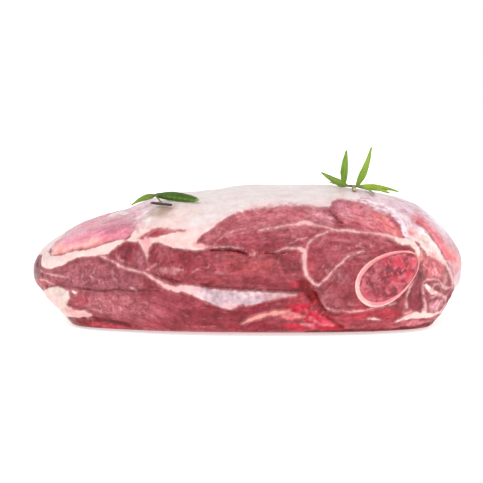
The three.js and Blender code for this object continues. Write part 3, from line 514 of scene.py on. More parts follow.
# ---- Settings ----
def linear(sheet):
    """An sRGB hex colour as linear red, green and blue."""
    parts = [int(sheet[k : k + 2], 16) / 255 for k in (1, 3, 5)]
    return tuple(c / 12.92 if c <= 0.04045 else ((c + 0.055) / 1.055) ** 2.4 for c in parts)


def colour(name, sheet, what):
    """A colour that the user can change."""
    return bpy.props.FloatVectorProperty(
        name=name, description=what, subtype="COLOR", size=3, min=0, max=1, default=linear(sheet)
    )


def length(name, millimetres, what):
    """A size that the user can change."""
    return bpy.props.FloatProperty(
        name=name, description=what, default=millimetres * MM, min=0, subtype="DISTANCE", unit="LENGTH"
    )


def share(name, value, what):
    """A share from 0 to 1 that the user can change."""
    return bpy.props.FloatProperty(name=name, description=what, default=value, min=0, max=1, subtype="FACTOR")


class MeatSettings(bpy.types.PropertyGroup):
    """Colours and surface of the muscles, the fat and the membranes"""

    lean: colour("Lean", "#8c353e", "Raw muscle of the long middle bundle")
    lean_dark: colour("Dark lean", "#782a34", "Dense muscle beside the shank")
    # Painted shade: this dark red is drawn in folds, under edges and beside seams, and is also the colour of
    # dark flecks in the muscle
    dark_lean_and_shade: colour("Deep lean", "#5c141c", "Muscle in folds and under edges")
    lean_deep: colour("Low lean", "#7a1f2b", "Muscle near the underside")
    lean_mauve: colour("Mauve lean", "#8b4750", "Muscle dulled by its membrane")
    lean_rose: colour("Rose lean", "#984b54", "Lighter muscle, cut across its fibres")
    lean_rosy: colour("Rosy lean", "#a2525a", "Moist light muscle")
    lean_pale: colour("Pale lean", "#9d5d61", "Muscle mixed with fat")
    lean_salmon: colour("Salmon lean", "#933a3f", "Warm light muscle")
    lean_ruby: colour("Ruby lean", "#8f3945", "Muscle of the pad and under the bone")
    lean_crimson: colour("Crimson lean", "#831629", "Wet red muscle")
    lean_red: colour("Red lean", "#a43541", "Bright muscle near the base")
    salmon: colour("Salmon", "#d27172", "Thin fat over red muscle")
    salmon_light: colour("Light salmon", "#e08c80", "Fat stained by the muscle beside it")
    # Bright rose is muscle colour, and also a painted highlight along the eye muscle's top
    bright_rose_and_highlight: colour("Bright rose", "#bf656f", "Light muscle of the upper right")
    rose_pink: colour("Rose pink", "#c57c8a", "Muscle under the lip of the fat")
    # Pale rose is thin fat over muscle, and also a painted highlight along the tops of the eye muscle and the
    # upper right muscle
    pale_rose_and_highlight: colour("Pale rose", "#c8858f", "Thin fat over light muscle")
    blood: colour("Blood", "#b50a2c", "Wet blood")
    blood_pink: colour("Blood pink", "#cf4157", "Thin fat under wet blood")
    # Dark blood lies in the blood's creases; the same colour is also painted shade in slits, folds and under
    # the bone, and a painted contact shadow along the foot of the cut face
    dark_blood_and_shade: colour("Dark blood", "#6a0008", "Blood in creases")
    flap_pink: colour("Flap", "#d58295", "Pink flap at the upper left")
    flap_low: colour("Flap's low edge", "#e9aaa2", "Warm lower part of the flap")
    flap_mauve: colour("Flap streaks", "#b5667c", "Darker streaks of the flap")
    flap_lilac: colour("Flap rim", "#dba3b0", "Membrane at the flap's upper edge")
    lobe: colour("Lobe", "#c3686e", "Small muscle beside the dark one")
    lobe_brown: colour("Brown lobe", "#c37c7e", "Its dull outer end")
    # Painted shade: the left tip's dark colours stand for shadow on its turned side
    nose: colour("Left tip", "#64242f", "Dried muscle at the left tip")
    nose_brown: colour("Brown tip", "#6b4749", "Its driest part")
    dome_pink: colour("Right end", "#c8a6b0", "Membrane of the right end")
    dome_red: colour("Right band", "#cf858b", "Muscle seen through the right end's membrane")
    dome_vivid: colour("Vivid band", "#d9646d", "The middle of that band")
    dome_rose: colour("Right rim", "#b98b8c", "Rose membrane at the far right")
    dome_pale: colour("Pale rim", "#e5d6d8", "White membrane at the far right")
    fat: colour("Fat", "#d1c4c2", "Fat cap")
    fat_cream: colour("Cream fat", "#d8beb8", "Thick fat cut through")
    fat_pink: colour("Pink fat", "#d8a8a6", "Fat tinged by muscle")
    fat_rose: colour("Rose fat", "#dc9c9a", "Fat stained red")
    fat_white: colour("White fat", "#ccbab0", "Loose fat at the left")
    fat_low: colour("Low fat", "#d5b5ae", "Fat cap where it is cut")
    # Grey fat gives the fat's own grey streaks, and also a painted shadow beside the left sprig
    grey_fat_and_shadow: colour("Grey fat", "#c8a9ae", "Thin fat over the flap")
    # Painted shadow: the brown that the left sprig's shadow lays on the fat
    sprig_shadow_brown: colour("Stained fat", "#a08471", "Fat browned by the sprig on it")
    fell: colour("Fell", "#cfb7bd", "Lilac membrane at the upper right")
    sheet_lilac: colour("Silverskin", "#b7a3a8", "Silverskin under the middle muscle")
    sheet_rose: colour("Rose silverskin", "#b38e90", "Its thin end over the muscle")
    seam_pink: colour("Pink seam", "#d59c9c", "Thin tissue between muscles")
    seam_cream: colour("Cream seam", "#e6c6be", "Thick tissue between muscles")
    seam_lilac: colour("Lilac seam", "#dfc9d0", "Ridge of membrane at the upper right")
    marbling: colour("Marbling", "#c88d90", "Fine pale streaks in the muscle")
    fibre: length("Fibre", 1.2, "Thickness of a bundle of muscle fibres")
    relief: length("Relief", 0.5, "Depth of the muscle's own unevenness")
    fat_edge: length("Fat edge", 0.5, "How far fat stands out over the muscle beside it")
    mottling: share("Mottling", 0.62, "Strength of the muscle's light and dark patches")
    edge_shade: share("Edge shade", 0.22, "How much the muscle darkens beside its seams")
    wetness: share("Wetness", 0.25, "Strength of the wet film over the muscle")


class BoneSettings(bpy.types.PropertyGroup):
    """Colours of the sawn bone and its marrow"""

    bone: colour("Bone", "#e4a7a3", "Sawn bone at its thickest")
    ring_top: colour("Upper ring", "#d28486", "Sawn bone at its upper side")
    ring_low: colour("Lower ring", "#dc707f", "Sawn bone at its lower side")
    ring_right: colour("Right ring", "#c2646c", "Thin sawn bone at the right")
    ring_inner: colour("Inner edge", "#b33f4c", "Bone stained by the marrow")
    ring_rim: colour("Outer rim", "#efc6bb", "Pale skin of the bone")
    marrow: colour("Marrow", "#861a2b", "Spongy marrow")
    marrow_mauve: colour("Mauve marrow", "#801d30", "Marrow at the left")
    marrow_red: colour("Red marrow", "#ba2a42", "Bloody marrow")
    marrow_dark: colour("Dark marrow", "#6e1224", "Marrow in its pores")
    marrow_pale: colour("Pale marrow", "#c26872", "Thin walls in the marrow")
    pore: length("Pore", 2.8, "Size of the marrow's pores")


class RosemarySettings(bpy.types.PropertyGroup):
    """Colours of the leaves and stems"""

    leaf: colour("Leaf", "#6c8e1e", "Upper face of a leaf")
    leaf_bright: colour("Bright leaf", "#7f9d2c", "Leaf lit from behind")
    leaf_young: colour("Young leaf", "#849c1e", "Yellow-green young leaf")
    leaf_dark: colour("Old leaf", "#365406", "Old leaf")
    leaf_olive: colour("Olive leaf", "#6c862e", "Leaf seen on its rolled edge")
    leaf_grey: colour("Grey leaf", "#8b9a5e", "Felted underside of a leaf")
    # Painted highlight: the paler line along a leaf's groove
    vein_and_highlight: colour("Vein", "#8fac44", "Groove along a leaf")
    twig: colour("Twig", "#6f6a3c", "Leaf foot and twig")
    stub: colour("Stub", "#37201a", "Dry stub of a leaf")
    cut_wood: colour("Cut wood", "#c9b878", "Cut end of the twig")
    wave: length("Leaf unevenness", 0.15, "Unevenness of a leaf's face")


class StageSettings(bpy.types.PropertyGroup):
    """Floor, lights and camera"""

    floor: colour("Floor", "#f7f6f5", "Pale floor")
    floor_size: length("Floor size", 6000, "Width of the floor")
    camera_at: bpy.props.FloatVectorProperty(
        name="Camera place",
        description="Where the camera stands",
        subtype="TRANSLATION",
        unit="LENGTH",
        size=3,
        default=(-0.0033, -0.7437, 0.1652),
    )
    camera_tilt: bpy.props.FloatProperty(
        name="Camera tilt",
        description="Turn of the camera up from straight down",
        default=math.radians(81),
        subtype="ANGLE",
        unit="ROTATION",
    )
    key_power: bpy.props.FloatProperty(
        name="Key light", description="Power of the large soft light", default=5.5, min=0, unit="POWER"
    )
    fill_power: bpy.props.FloatProperty(
        name="Fill light", description="Power of the light on the cut face", default=1.5, min=0, unit="POWER"
    )
    sky: bpy.props.FloatProperty(
        name="Surround", description="Brightness of the white room", default=1.0, min=0
    )


# ---- Mesh helpers ----
def copy_of(node_name, name):
    """A copy of a solid, with its corners merged and its triangles paired, selected alone."""
    bpy.ops.object.select_all(action="DESELECT")
    piece = bpy.data.objects.new(name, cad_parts[node_name].data.copy())
    bpy.context.scene.collection.objects.link(piece)
    bpy.context.view_layer.objects.active = piece
    piece.select_set(True)
    piece.data.materials.clear()
    bpy.ops.mesh.customdata_custom_splitnormals_clear()
    bpy.ops.object.mode_set(mode="EDIT")
    bpy.ops.mesh.select_all(action="SELECT")
    bpy.ops.mesh.remove_doubles(threshold=0.01 * MM)
    bpy.ops.mesh.tris_convert_to_quads(face_threshold=math.radians(60), shape_threshold=math.radians(70))
    bpy.ops.object.mode_set(mode="OBJECT")
    return piece


def subdivide(piece, levels):
    """Rounds a piece by subdivision, and applies it."""
    modifier = piece.modifiers.new("rounding", "SUBSURF")
    modifier.levels = modifier.render_levels = levels
    bpy.ops.object.modifier_apply(modifier=modifier.name)


def crease_where(piece, chosen):
    """Keeps edges near the bone's sawn face sharp when the piece is subdivided."""
    points, _ = places(piece)
    x, y, z = points.T
    near = chosen(bone_oval(x, z), np.abs(behind_face(x, y)))
    ends = np.empty(len(piece.data.edges) * 2, int)
    piece.data.edges.foreach_get("vertices", ends)
    bpy.ops.object.mode_set(mode="EDIT")
    bpy.ops.mesh.select_mode(type="EDGE")
    bpy.ops.mesh.select_all(action="DESELECT")
    bpy.ops.object.mode_set(mode="OBJECT")
    piece.data.edges.foreach_set("select", near[ends.reshape(-1, 2)].all(axis=1))
    bpy.ops.object.mode_set(mode="EDIT")
    bpy.ops.transform.edge_crease(value=1.0)
    bpy.ops.object.mode_set(mode="OBJECT")


def places(piece):
    """The piece's points and normals, in mm."""
    count = len(piece.data.vertices)
    points = np.empty(count * 3)
    piece.data.vertices.foreach_get("co", points)
    normals = np.empty(count * 3)
    piece.data.vertex_normals.foreach_get("vector", normals)
    return points.reshape(-1, 3) / MM, normals.reshape(-1, 3)


def move_points(piece, points):
    """Puts the piece's points at places in mm."""
    piece.data.vertices.foreach_set("co", (points * MM).ravel())
    piece.data.update()


def keep(piece, name, values):
    """Stores a value, direction or colour at each point, for the material."""
    if values.ndim == 1:
        piece.data.attributes.new(name, "FLOAT", "POINT").data.foreach_set("value", values)
    else:
        rgba = np.concatenate([values, np.ones((len(values), 1))], axis=1)
        piece.data.attributes.new(name, "FLOAT_COLOR", "POINT").data.foreach_set("color", rgba.ravel())


def smoothstep(value, low, high):
    """0 below low, 1 above high and a soft step between."""
    t = np.clip((value - low) / (high - low), 0, 1)
    return t * t * (3 - 2 * t)


def lumps(points, size, seed):
    """Smooth noise from -1 to 1, with lumps of a size in mm."""
    scaled = points / size + seed * 17.3
    cell = np.floor(scaled).astype(np.int64)
    t = scaled - cell
    t = t * t * (3 - 2 * t)
    total = np.zeros(len(points))
    for corner in itertools.product((0, 1), repeat=3):
        c = cell + corner
        mixed = (c[:, 0] * 73856093) ^ (c[:, 1] * 19349663) ^ (c[:, 2] * 83492791)
        mixed = ((mixed ^ (mixed >> 13)) * 1274126177) & 0x7FFFFFFF
        weight = np.prod(np.where(corner, t, 1 - t), axis=1)
        total += weight * ((mixed >> 8 & 0xFFFF) / 32767.5 - 1)
    return total


def within_line(line, x, z):
    """How far inside a line each place lies; less than 0 outside it. Its points are (x, z, half width)."""
    best = np.full(len(x), -1e9)
    for (ax, az, aw), (bx, bz, bw) in zip(line, line[1:]):
        dx, dz = bx - ax, bz - az
        t = np.clip(((x - ax) * dx + (z - az) * dz) / (dx * dx + dz * dz), 0, 1)
        distance = np.hypot(x - ax - t * dx, z - az - t * dz)
        best = np.maximum(best, aw + t * (bw - aw) - distance)
    return best


def plain_line(line):
    """A line of (x, z) points with no width."""
    return [(x, z, 0) for x, z in line]


def depth_inside(outline, x, z):
    """How far inside an outline each place lies; less than 0 outside it."""
    inside = np.zeros(len(x), bool)
    ring = list(zip(outline, outline[1:] + outline[:1]))
    for (ax, az), (bx, bz) in ring:
        if az == bz:
            continue
        crosses = (az > z) != (bz > z)
        inside ^= crosses & (x < ax + (z - az) * (bx - ax) / (bz - az))
    distance = -within_line(plain_line(outline + outline[:1]), x, z)
    return np.where(inside, distance, -distance)


def patch_share(patch, x, z):
    """How strongly a soft oval patch covers each place."""
    px, pz, long, high, turn, _, strength = patch
    c, s = math.cos(math.radians(turn)), math.sin(math.radians(turn))
    along = ((x - px) * c + (z - pz) * s) / long
    across = ((z - pz) * c - (x - px) * s) / high
    return strength * (1 - smoothstep(np.hypot(along, across), 0.45, 1.15))


def paint(colours, amount, tint):
    """Blends a colour over the painted ones."""
    amount = np.clip(amount, 0, 1)[:, None]
    return colours * (1 - amount) + np.array(tint)[None, :] * amount


def bone_oval(x, z):
    """Where a place lies on the bone's sawn face: 1 is the oval's outline."""
    across = (x - BONE_AT[0]) / math.cos(BONE_YAW)
    up = z - BONE_AT[1]
    along = (across * math.cos(BONE_TILT) + up * math.sin(BONE_TILT)) / BONE_HALVES[0]
    side = (up * math.cos(BONE_TILT) - across * math.sin(BONE_TILT)) / BONE_HALVES[1]
    return np.hypot(along, side / (1 + BONE_EGG * np.clip(along, -1.5, 1.5)))


def behind_face(x, y):
    """How far behind the bone's sawn face a place lies, in mm."""
    return (y - BONE_FACE_Y) * math.cos(BONE_YAW) - (x - BONE_AT[0]) * math.sin(BONE_YAW)


# ---- Material helpers ----
def add(tree, kind, links=None, **settings):
    """Adds a node: settings are its properties, links the values or outputs for its sockets."""
    node = tree.nodes.new(kind)
    for name, value in settings.items():
        setattr(node, name, value)
    for socket, value in (links or {}).items():
        if isinstance(value, bpy.types.NodeSocket):
            tree.links.new(value, node.inputs[socket])
        else:
            node.inputs[socket].default_value = value
    return node


def new_material(name):
    """An empty material with its shader."""
    material = bpy.data.materials.new(name)
    material.use_nodes = True
    tree = material.node_tree
    return material, tree, tree.nodes["Principled BSDF"]


# Sockets of a colour mix: its share, its first and second colour, and the mixed colour
SHARE, FIRST, SECOND, MIXED = 0, 6, 7, 2
# Overlaid on muscle and on fat where they are darkest and lightest: 0.5 leaves a colour as it is
LEAN_TONES = (0.3, 0.16, 0.18, 1), (0.7, 0.84, 0.82, 1)
PALE_TONES = (0.12, 0, 0.06, 1), (1, 1, 1, 1)


def rgba(tint):
    """A colour with its alpha."""
    return (*tint, 1.0)


# ---- Meat ----
def warped(points, size, amount, seed):
    """x and height, pushed about a little so that edges drawn on them are uneven."""
    x = points[:, 0] + amount * lumps(points, size, seed)
    z = points[:, 2] + amount * lumps(points, size, seed + 1)
    return x, z


def paint_patches(look, colours, patches, x, z):
    """Paints soft ovals over the colours."""
    for patch in patches:
        colours = paint(colours, patch_share(patch, x, z), getattr(look, patch[5]))
    return colours


def paint_lines(look, colours, lines, x, z):
    """Paints soft lines over the colours."""
    for line, half, tint, strength in lines:
        inside = within_line(plain_line(line), x, z)
        colours = paint(colours, strength * smoothstep(inside, -1.5 * half, -0.3 * half), getattr(look, tint))
    return colours


def paint_lean(look, points, seen):
    """The muscles' colours, with painted shade in folds and under edges and painted highlights along two
    muscles' tops: drawn on the front, and a quiet mix of reds on the back.
    """
    # Patches have ragged edges; lines and outlines keep closer to their places
    broad = lumps(points, 9, 3), lumps(points, 9, 4)
    fine = lumps(points, 3, 5), lumps(points, 3, 6)
    x = points[:, 0] + 2.2 * broad[0] + 0.8 * fine[0]
    z = points[:, 2] + 2.2 * broad[1] + 0.8 * fine[1]
    near_x = points[:, 0] + 0.5 * fine[0]
    near_z = points[:, 2] + 0.5 * fine[1]
    colours = np.tile(np.array(look.lean), (len(x), 1))
    colours = paint_patches(look, colours, LEAN_PATCHES, x, z)
    colours = paint_lines(look, colours, LEAN_LINES, near_x, near_z)
    # The flap has its own patches and lines
    flap = smoothstep(depth_inside(FLAP, near_x, near_z), -0.4, 0.5)
    drawn = paint_lines(look, paint_patches(look, colours, FLAP_PATCHES, x, z), FLAP_LINES, near_x, near_z)
    colours = colours * (1 - flap[:, None]) + drawn * flap[:, None]
    # The sliver is red, and paler toward its right tip
    sliver = smoothstep(depth_inside(SLIVER, near_x, near_z), -0.5, 0.5)
    colours = paint(colours, sliver, look.lean_red)
    colours = paint(colours, 0.6 * sliver * smoothstep(points[:, 0], -56, -44), look.pale_rose_and_highlight)
    # Broad reds behind
    behind = np.tile(np.array(look.lean_ruby), (len(x), 1))
    behind = paint(behind, 0.8 * smoothstep(lumps(points, 24, 42), 0, 0.8), look.lean_rosy)
    behind = paint(behind, 0.7 * smoothstep(lumps(points, 16, 43), 0.1, 0.9), look.lean_deep)
    return colours * seen[:, None] + behind * (1 - seen[:, None])


def pale_depth(points, cut):
    """How far inside pale tissue each point lies, in mm; less than 0 on the lean."""
    x, z = warped(points, 4, 0.45, 11)
    depth = np.full(len(x), -1e3)
    for outline, _ in PALE_AREAS:
        depth = np.maximum(depth, depth_inside(outline, x, z))
    # The sliver of muscle parts the fat cap
    sliver = depth_inside(SLIVER, x, z)
    depth = np.where(sliver > -3, np.minimum(depth, -sliver), depth)
    # Seams swell and narrow along their way
    wider = 0.3 * lumps(points, 5, 12) + 0.25 * lumps(points, 2, 16)
    for _, line in SEAMS.values():
        depth = np.maximum(depth, within_line(line, x, z) + wider)
    for place in SOFT_EDGES:
        depth = depth * (1 - patch_share(place, x, z))
    outside = outside_fat(points)
    return outside + (np.clip(depth, -8, 8) - outside) * cut


def outside_fat(points):
    """How far inside the fat each point of the outside lies: fat above, thinning to lean low on the back."""
    x, y, z = points.T
    seam_height = 30 + 9 * np.sin((x + 90) / 52) + 3 * lumps(points, 18, 21)
    depth = (z - seam_height) * 0.6
    thin = 5 * lumps(points, 26, 23) + 2.5 * lumps(points, 11, 24) - 2
    patchy = smoothstep(z, 74, 60) * smoothstep(y, 10, 40)
    return np.clip(depth + patchy * thin, -8, 8)


def paint_pale(look, points, cut):
    """The colours of fat, silverskin and seams, with painted shadows under and beside the left sprig."""
    x, z = warped(points, 8, 1.4, 13)
    colours = np.tile(np.array(look.fat), (len(x), 1))
    for outline, tint in PALE_AREAS[1:]:
        inside = smoothstep(depth_inside(outline, points[:, 0], points[:, 2]), -1.5, 0.8)
        colours = paint(colours, inside * cut, getattr(look, tint))
    drawn = paint_patches(look, colours, PALE_PATCHES, x, z)
    drawn = paint_lines(look, drawn, PALE_LINES, x, z)
    colours = colours * (1 - cut[:, None]) + drawn * cut[:, None]
    lip = smoothstep(within_line(plain_line(LIP_LINE), x, z), -2.5, -0.5) * cut
    colours = paint(colours, 0.4 * lip, look.fat_pink)
    # Each seam has its own tint
    for tint, line in SEAMS.values():
        inside = within_line(line, points[:, 0], points[:, 2])
        colours = paint(colours, smoothstep(inside, -1.6, -0.6) * cut, getattr(look, tint))
    # Greyish streaks run along the joint
    streaks = smoothstep(lumps(points * (0.2, 1, 1), 3, 35), 0.1, 0.9)
    colours = paint(colours, 0.3 * streaks, look.grey_fat_and_shadow)
    # The membrane covers the right end
    past = smoothstep(points[:, 0] - 0.35 * points[:, 1], 62, 100) * (1 - cut)
    colours = paint(colours, 0.75 * past, look.fell)
    # Top and back are tinged pink and cream in broad clouds
    blush = smoothstep(lumps(points, 24, 25) + 0.5 * lumps(points, 9, 26), 0.1, 0.9) * (1 - cut)
    colours = paint(colours, 0.6 * blush, look.fat_pink)
    yellow = smoothstep(lumps(points, 30, 27) + 0.4 * lumps(points, 8, 28), 0.2, 1.0) * (1 - cut)
    colours = paint(colours, 0.6 * yellow, look.fat_cream)
    # Painted shadow: the fat under the left sprig is drawn brown
    under_sprig = np.hypot((points[:, 0] + 53) / 13, (points[:, 1] + 45) / 13) + 0.3 * lumps(points, 5, 14)
    return paint(colours, 0.8 * (1 - smoothstep(under_sprig, 0.2, 1.1)) * (points[:, 2] > 60), look.sprig_shadow_brown)


def fibre_places(points):
    """Where each point lies along and across its muscle's fibres."""
    x, z = warped(points, 8, 3, 17)
    centres = np.array([place for place, _, _ in FIBRES])
    nearest = np.hypot(x[:, None] - centres[:, 0], z[:, None] - centres[:, 1]).argmin(axis=1)
    turn = np.radians([turn for _, turn, _ in FIBRES])[nearest]
    stretch = np.array([stretch for _, _, stretch in FIBRES])[nearest]
    dx, dz = points[:, 0] - centres[nearest, 0], points[:, 2] - centres[nearest, 1]
    along = (dx * np.cos(turn) + dz * np.sin(turn)) / stretch
    across = dz * np.cos(turn) - dx * np.sin(turn)
    deep = points[:, 1]
    # Each muscle has fibres of its own, so its places start far from the next one's
    return np.stack([along + 40 * nearest, 0.8 * across + 0.6 * deep, 0.8 * deep - 0.6 * across], axis=1)


def shape_meat(look, piece):
    """Moves the meat's points for the fine relief, and stores what its material reads."""
    points, normals = places(piece)
    x, y, z = points.T
    # The cut face, and all that the front shows
    cut = smoothstep(-normals[:, 1], 0.08, 0.4)
    seen = smoothstep(0.15 * lumps(points, 13, 41) - normals[:, 1], -0.4, -0.15)
    # Away from the cut face, edges wander more
    wander = 8 * np.maximum(smoothstep(y, -25, 25), smoothstep(x, 122, 136) * smoothstep(y, -66, -48))
    drawn = points + np.stack([wander * lumps(points, 26, 44), 0 * x, wander * lumps(points, 26, 45)], axis=1)
    # The underside, the two ends and the rim round the bone keep their form
    free = (1 - smoothstep(-normals[:, 2], 0.6, 0.95)) * smoothstep(z, 0.3, 3)
    free *= smoothstep(140 - np.abs(x), 0, 8)
    free *= np.where(cut > 0.5, smoothstep(bone_oval(x, z), 1.03, 1.2), 1)
    depth = pale_depth(drawn, seen)
    grain = fibre_places(points)
    lean = 1 - smoothstep(depth, -0.5, 0.5)
    # Fat stands over the muscle beside it, and both have their own unevenness
    out = look.fat_edge / MM * (smoothstep(depth, -0.8, 0.6) - 0.5)
    uneven = 0.7 * lumps(points, 6, 31) + 0.5 * lumps(grain, 1.8, 32) + 0.4 * lumps(points, 2.6, 35)
    out += look.relief / MM * lean * uneven
    out += (1 - lean) * (0.35 * lumps(points, 11, 33) + 0.14 * lumps(points, 4, 34))
    # Folds sink where the lines on the muscle are strong, most where blood gathers in them
    for line, half, tint, strength in LEAN_LINES:
        if strength > 0.65:
            fold = 1.1 if tint == "dark_blood_and_shade" else 0.5
            out -= fold * smoothstep(within_line(plain_line(line), x, z), -1.6 * half, -0.2) * cut
    out -= 0.9 * smoothstep(within_line(plain_line(DARK_GAP), x, z), -0.8, -0.1) * cut
    moved = points + normals * (out * free)[:, None]
    # The meat round the bone is drawn in and pushed forward to its rim
    oval = bone_oval(x, z)
    pressed = smoothstep(oval, 1.06, 1.02) * (np.abs(behind_face(x, y)) < 2)
    middle = np.array([BONE_AT[0], 0, BONE_AT[1]])
    reach = np.array([1, 0, 1]) * (moved - middle) * -0.03
    reach[:, 1] = -BONE_PROUD * 0.9
    moved += reach * pressed[:, None]
    move_points(piece, moved)
    flecked = 0.45 * (1 - seen) * smoothstep(lumps(points, 20, 29), -0.4, 0.6)
    for px, pz, long, high, turn, strength in FLECKS_AND_GLINTS:
        flecked = np.maximum(flecked, patch_share((px, pz, long, high, turn, None, strength), x, z) * seen)
    keep(piece, "lean_tint", paint_lean(look, drawn, seen))
    keep(piece, "pale_tint", paint_pale(look, drawn, seen))
    keep(piece, "calm", smoothstep(depth_inside(FLAP, x, z), -2, 2) * seen)
    keep(piece, "pale_depth", depth)
    keep(piece, "fibre_place", grain)
    keep(piece, "flecked", flecked)


def meat_material(look):
    """Raw lamb: wet, half clear muscle in fine bundles, and waxy matte fat. The eye sees soft mottling,
    streaks along the fibres, pale flecks between them that are partly painted wet glints, painted shade
    beside seams, ragged edges where fat meets lean, and a wet gleam."""
    material, tree, shader = new_material("raw_lamb_muscle_and_fat")
    place = add(tree, "ShaderNodeTexCoord").outputs["Object"]
    grain = add(tree, "ShaderNodeAttribute", attribute_name="fibre_place").outputs["Vector"]
    lean = add(tree, "ShaderNodeAttribute", attribute_name="lean_tint").outputs["Color"]
    pale = add(tree, "ShaderNodeAttribute", attribute_name="pale_tint").outputs["Color"]
    depth = add(tree, "ShaderNodeAttribute", attribute_name="pale_depth").outputs["Fac"]
    flecked = add(tree, "ShaderNodeAttribute", attribute_name="flecked").outputs["Fac"]
    calm = add(tree, "ShaderNodeAttribute", attribute_name="calm").outputs["Fac"]

    # Light and dark in the lean: the place it follows, its size there, and its strength
    bundle = look.fibre / MM
    for vector, size, strength in [
        (place, 8 * MM, look.mottling),
        (grain, 2.6 * bundle, 0.9 * look.mottling),
        (place, 2.2 * MM, 0.8 * look.mottling),
        (grain, bundle, 0.6 * look.mottling),
    ]:
        wave = {"Vector": vector, "Scale": 1 / size, "Detail": 3.0}
        wave = add(tree, "ShaderNodeTexNoise", wave).outputs["Fac"]
        clear = {"Value": wave, "From Min": 0.3, "From Max": 0.7}
        clear = add(tree, "ShaderNodeMapRange", clear).outputs["Result"]
        tones = {SHARE: clear, FIRST: LEAN_TONES[0], SECOND: LEAN_TONES[1]}
        tone = add(tree, "ShaderNodeMix", tones, data_type="RGBA").outputs[MIXED]
        share = {0: calm, 1: -0.55 * strength, 2: strength}
        share = add(tree, "ShaderNodeMath", share, operation="MULTIPLY_ADD").outputs[0]
        layers = {SHARE: share, FIRST: lean, SECOND: tone}
        lean = add(tree, "ShaderNodeMix", layers, data_type="RGBA", blend_type="OVERLAY").outputs[MIXED]
        fibres = wave

    # Pale streaks along the fibres, then pale flecks, partly painted wet glints, and dark flecks: place,
    # size, threshold, most, colour, where
    for vector, size, low, most, tint, where in [
        (grain, 1.6 * bundle, 0.6, 0.25, look.marbling, 1.0),
        (place, 3 * MM, 0.54, 0.5, look.seam_pink, flecked),
        (place, 3.4 * MM, 0.62, 0.4, look.dark_lean_and_shade, 1.0),
    ]:
        wave = {"Vector": vector, "Scale": 1 / size, "Detail": 2.5}
        wave = add(tree, "ShaderNodeTexNoise", wave).outputs["Fac"]
        above = {"Value": wave, "From Min": low, "From Max": low + 0.16, "To Max": most}
        spots = add(tree, "ShaderNodeMapRange", above).outputs["Result"]
        spots = add(tree, "ShaderNodeMath", {0: spots, 1: where}, operation="MULTIPLY").outputs[0]
        layers = {SHARE: spots, FIRST: lean, SECOND: rgba(tint)}
        lean = add(tree, "ShaderNodeMix", layers, data_type="RGBA").outputs[MIXED]

    # Painted shade: muscle is drawn darker beside fat and seams
    beside = {"Value": depth, "From Min": -3.2, "From Max": -0.6, "To Max": look.edge_shade}
    beside = add(tree, "ShaderNodeMapRange", beside).outputs["Result"]
    layers = {SHARE: beside, FIRST: lean, SECOND: rgba(look.dark_lean_and_shade)}
    lean = add(tree, "ShaderNodeMix", layers, data_type="RGBA").outputs[MIXED]

    # Fat meets muscle in a ragged edge, with a thin pale film on the muscle's side
    ragged = add(tree, "ShaderNodeTexNoise", {"Vector": place, "Scale": 1 / (2.6 * MM), "Detail": 3.0})
    shift = {0: ragged.outputs["Fac"], 1: 1.8, 2: -0.9}
    shift = add(tree, "ShaderNodeMath", shift, operation="MULTIPLY_ADD").outputs[0]
    uneven = add(tree, "ShaderNodeMath", {0: depth, 1: shift}, operation="ADD").outputs[0]
    rim = add(tree, "ShaderNodeMapRange", {"Value": uneven, "From Min": -1.4, "From Max": 0.1, "To Max": 0.4})
    solid = add(tree, "ShaderNodeMapRange", {"Value": uneven, "From Min": -0.2, "From Max": 0.7})
    solid = solid.outputs["Result"]
    layers = {SHARE: rim.outputs["Result"], FIRST: lean, SECOND: rgba(look.marbling)}
    lean = add(tree, "ShaderNodeMix", layers, data_type="RGBA").outputs[MIXED]

    # Light and dark in the fat, stronger in thin membrane: its size, and its strength in each
    for size, least, more in [(8 * MM, 0.12, 0.24), (2.6 * MM, 0.07, 0.2)]:
        wave = {"Vector": place, "Scale": 1 / size, "Detail": 4.0}
        wave = add(tree, "ShaderNodeTexNoise", wave).outputs["Fac"]
        clear = {"Value": wave, "From Min": 0.3, "From Max": 0.7}
        clear = add(tree, "ShaderNodeMapRange", clear).outputs["Result"]
        tones = {SHARE: clear, FIRST: PALE_TONES[0], SECOND: PALE_TONES[1]}
        tone = add(tree, "ShaderNodeMix", tones, data_type="RGBA").outputs[MIXED]
        strength = {0: flecked, 1: more, 2: least}
        strength = add(tree, "ShaderNodeMath", strength, operation="MULTIPLY_ADD").outputs[0]
        layers = {SHARE: strength, FIRST: pale, SECOND: tone}
        pale = add(tree, "ShaderNodeMix", layers, data_type="RGBA", blend_type="OVERLAY").outputs[MIXED]
    layers = {SHARE: solid, FIRST: lean, SECOND: pale}
    skin = add(tree, "ShaderNodeMix", layers, data_type="RGBA").outputs[MIXED]
    tree.links.new(skin, shader.inputs["Base Color"])

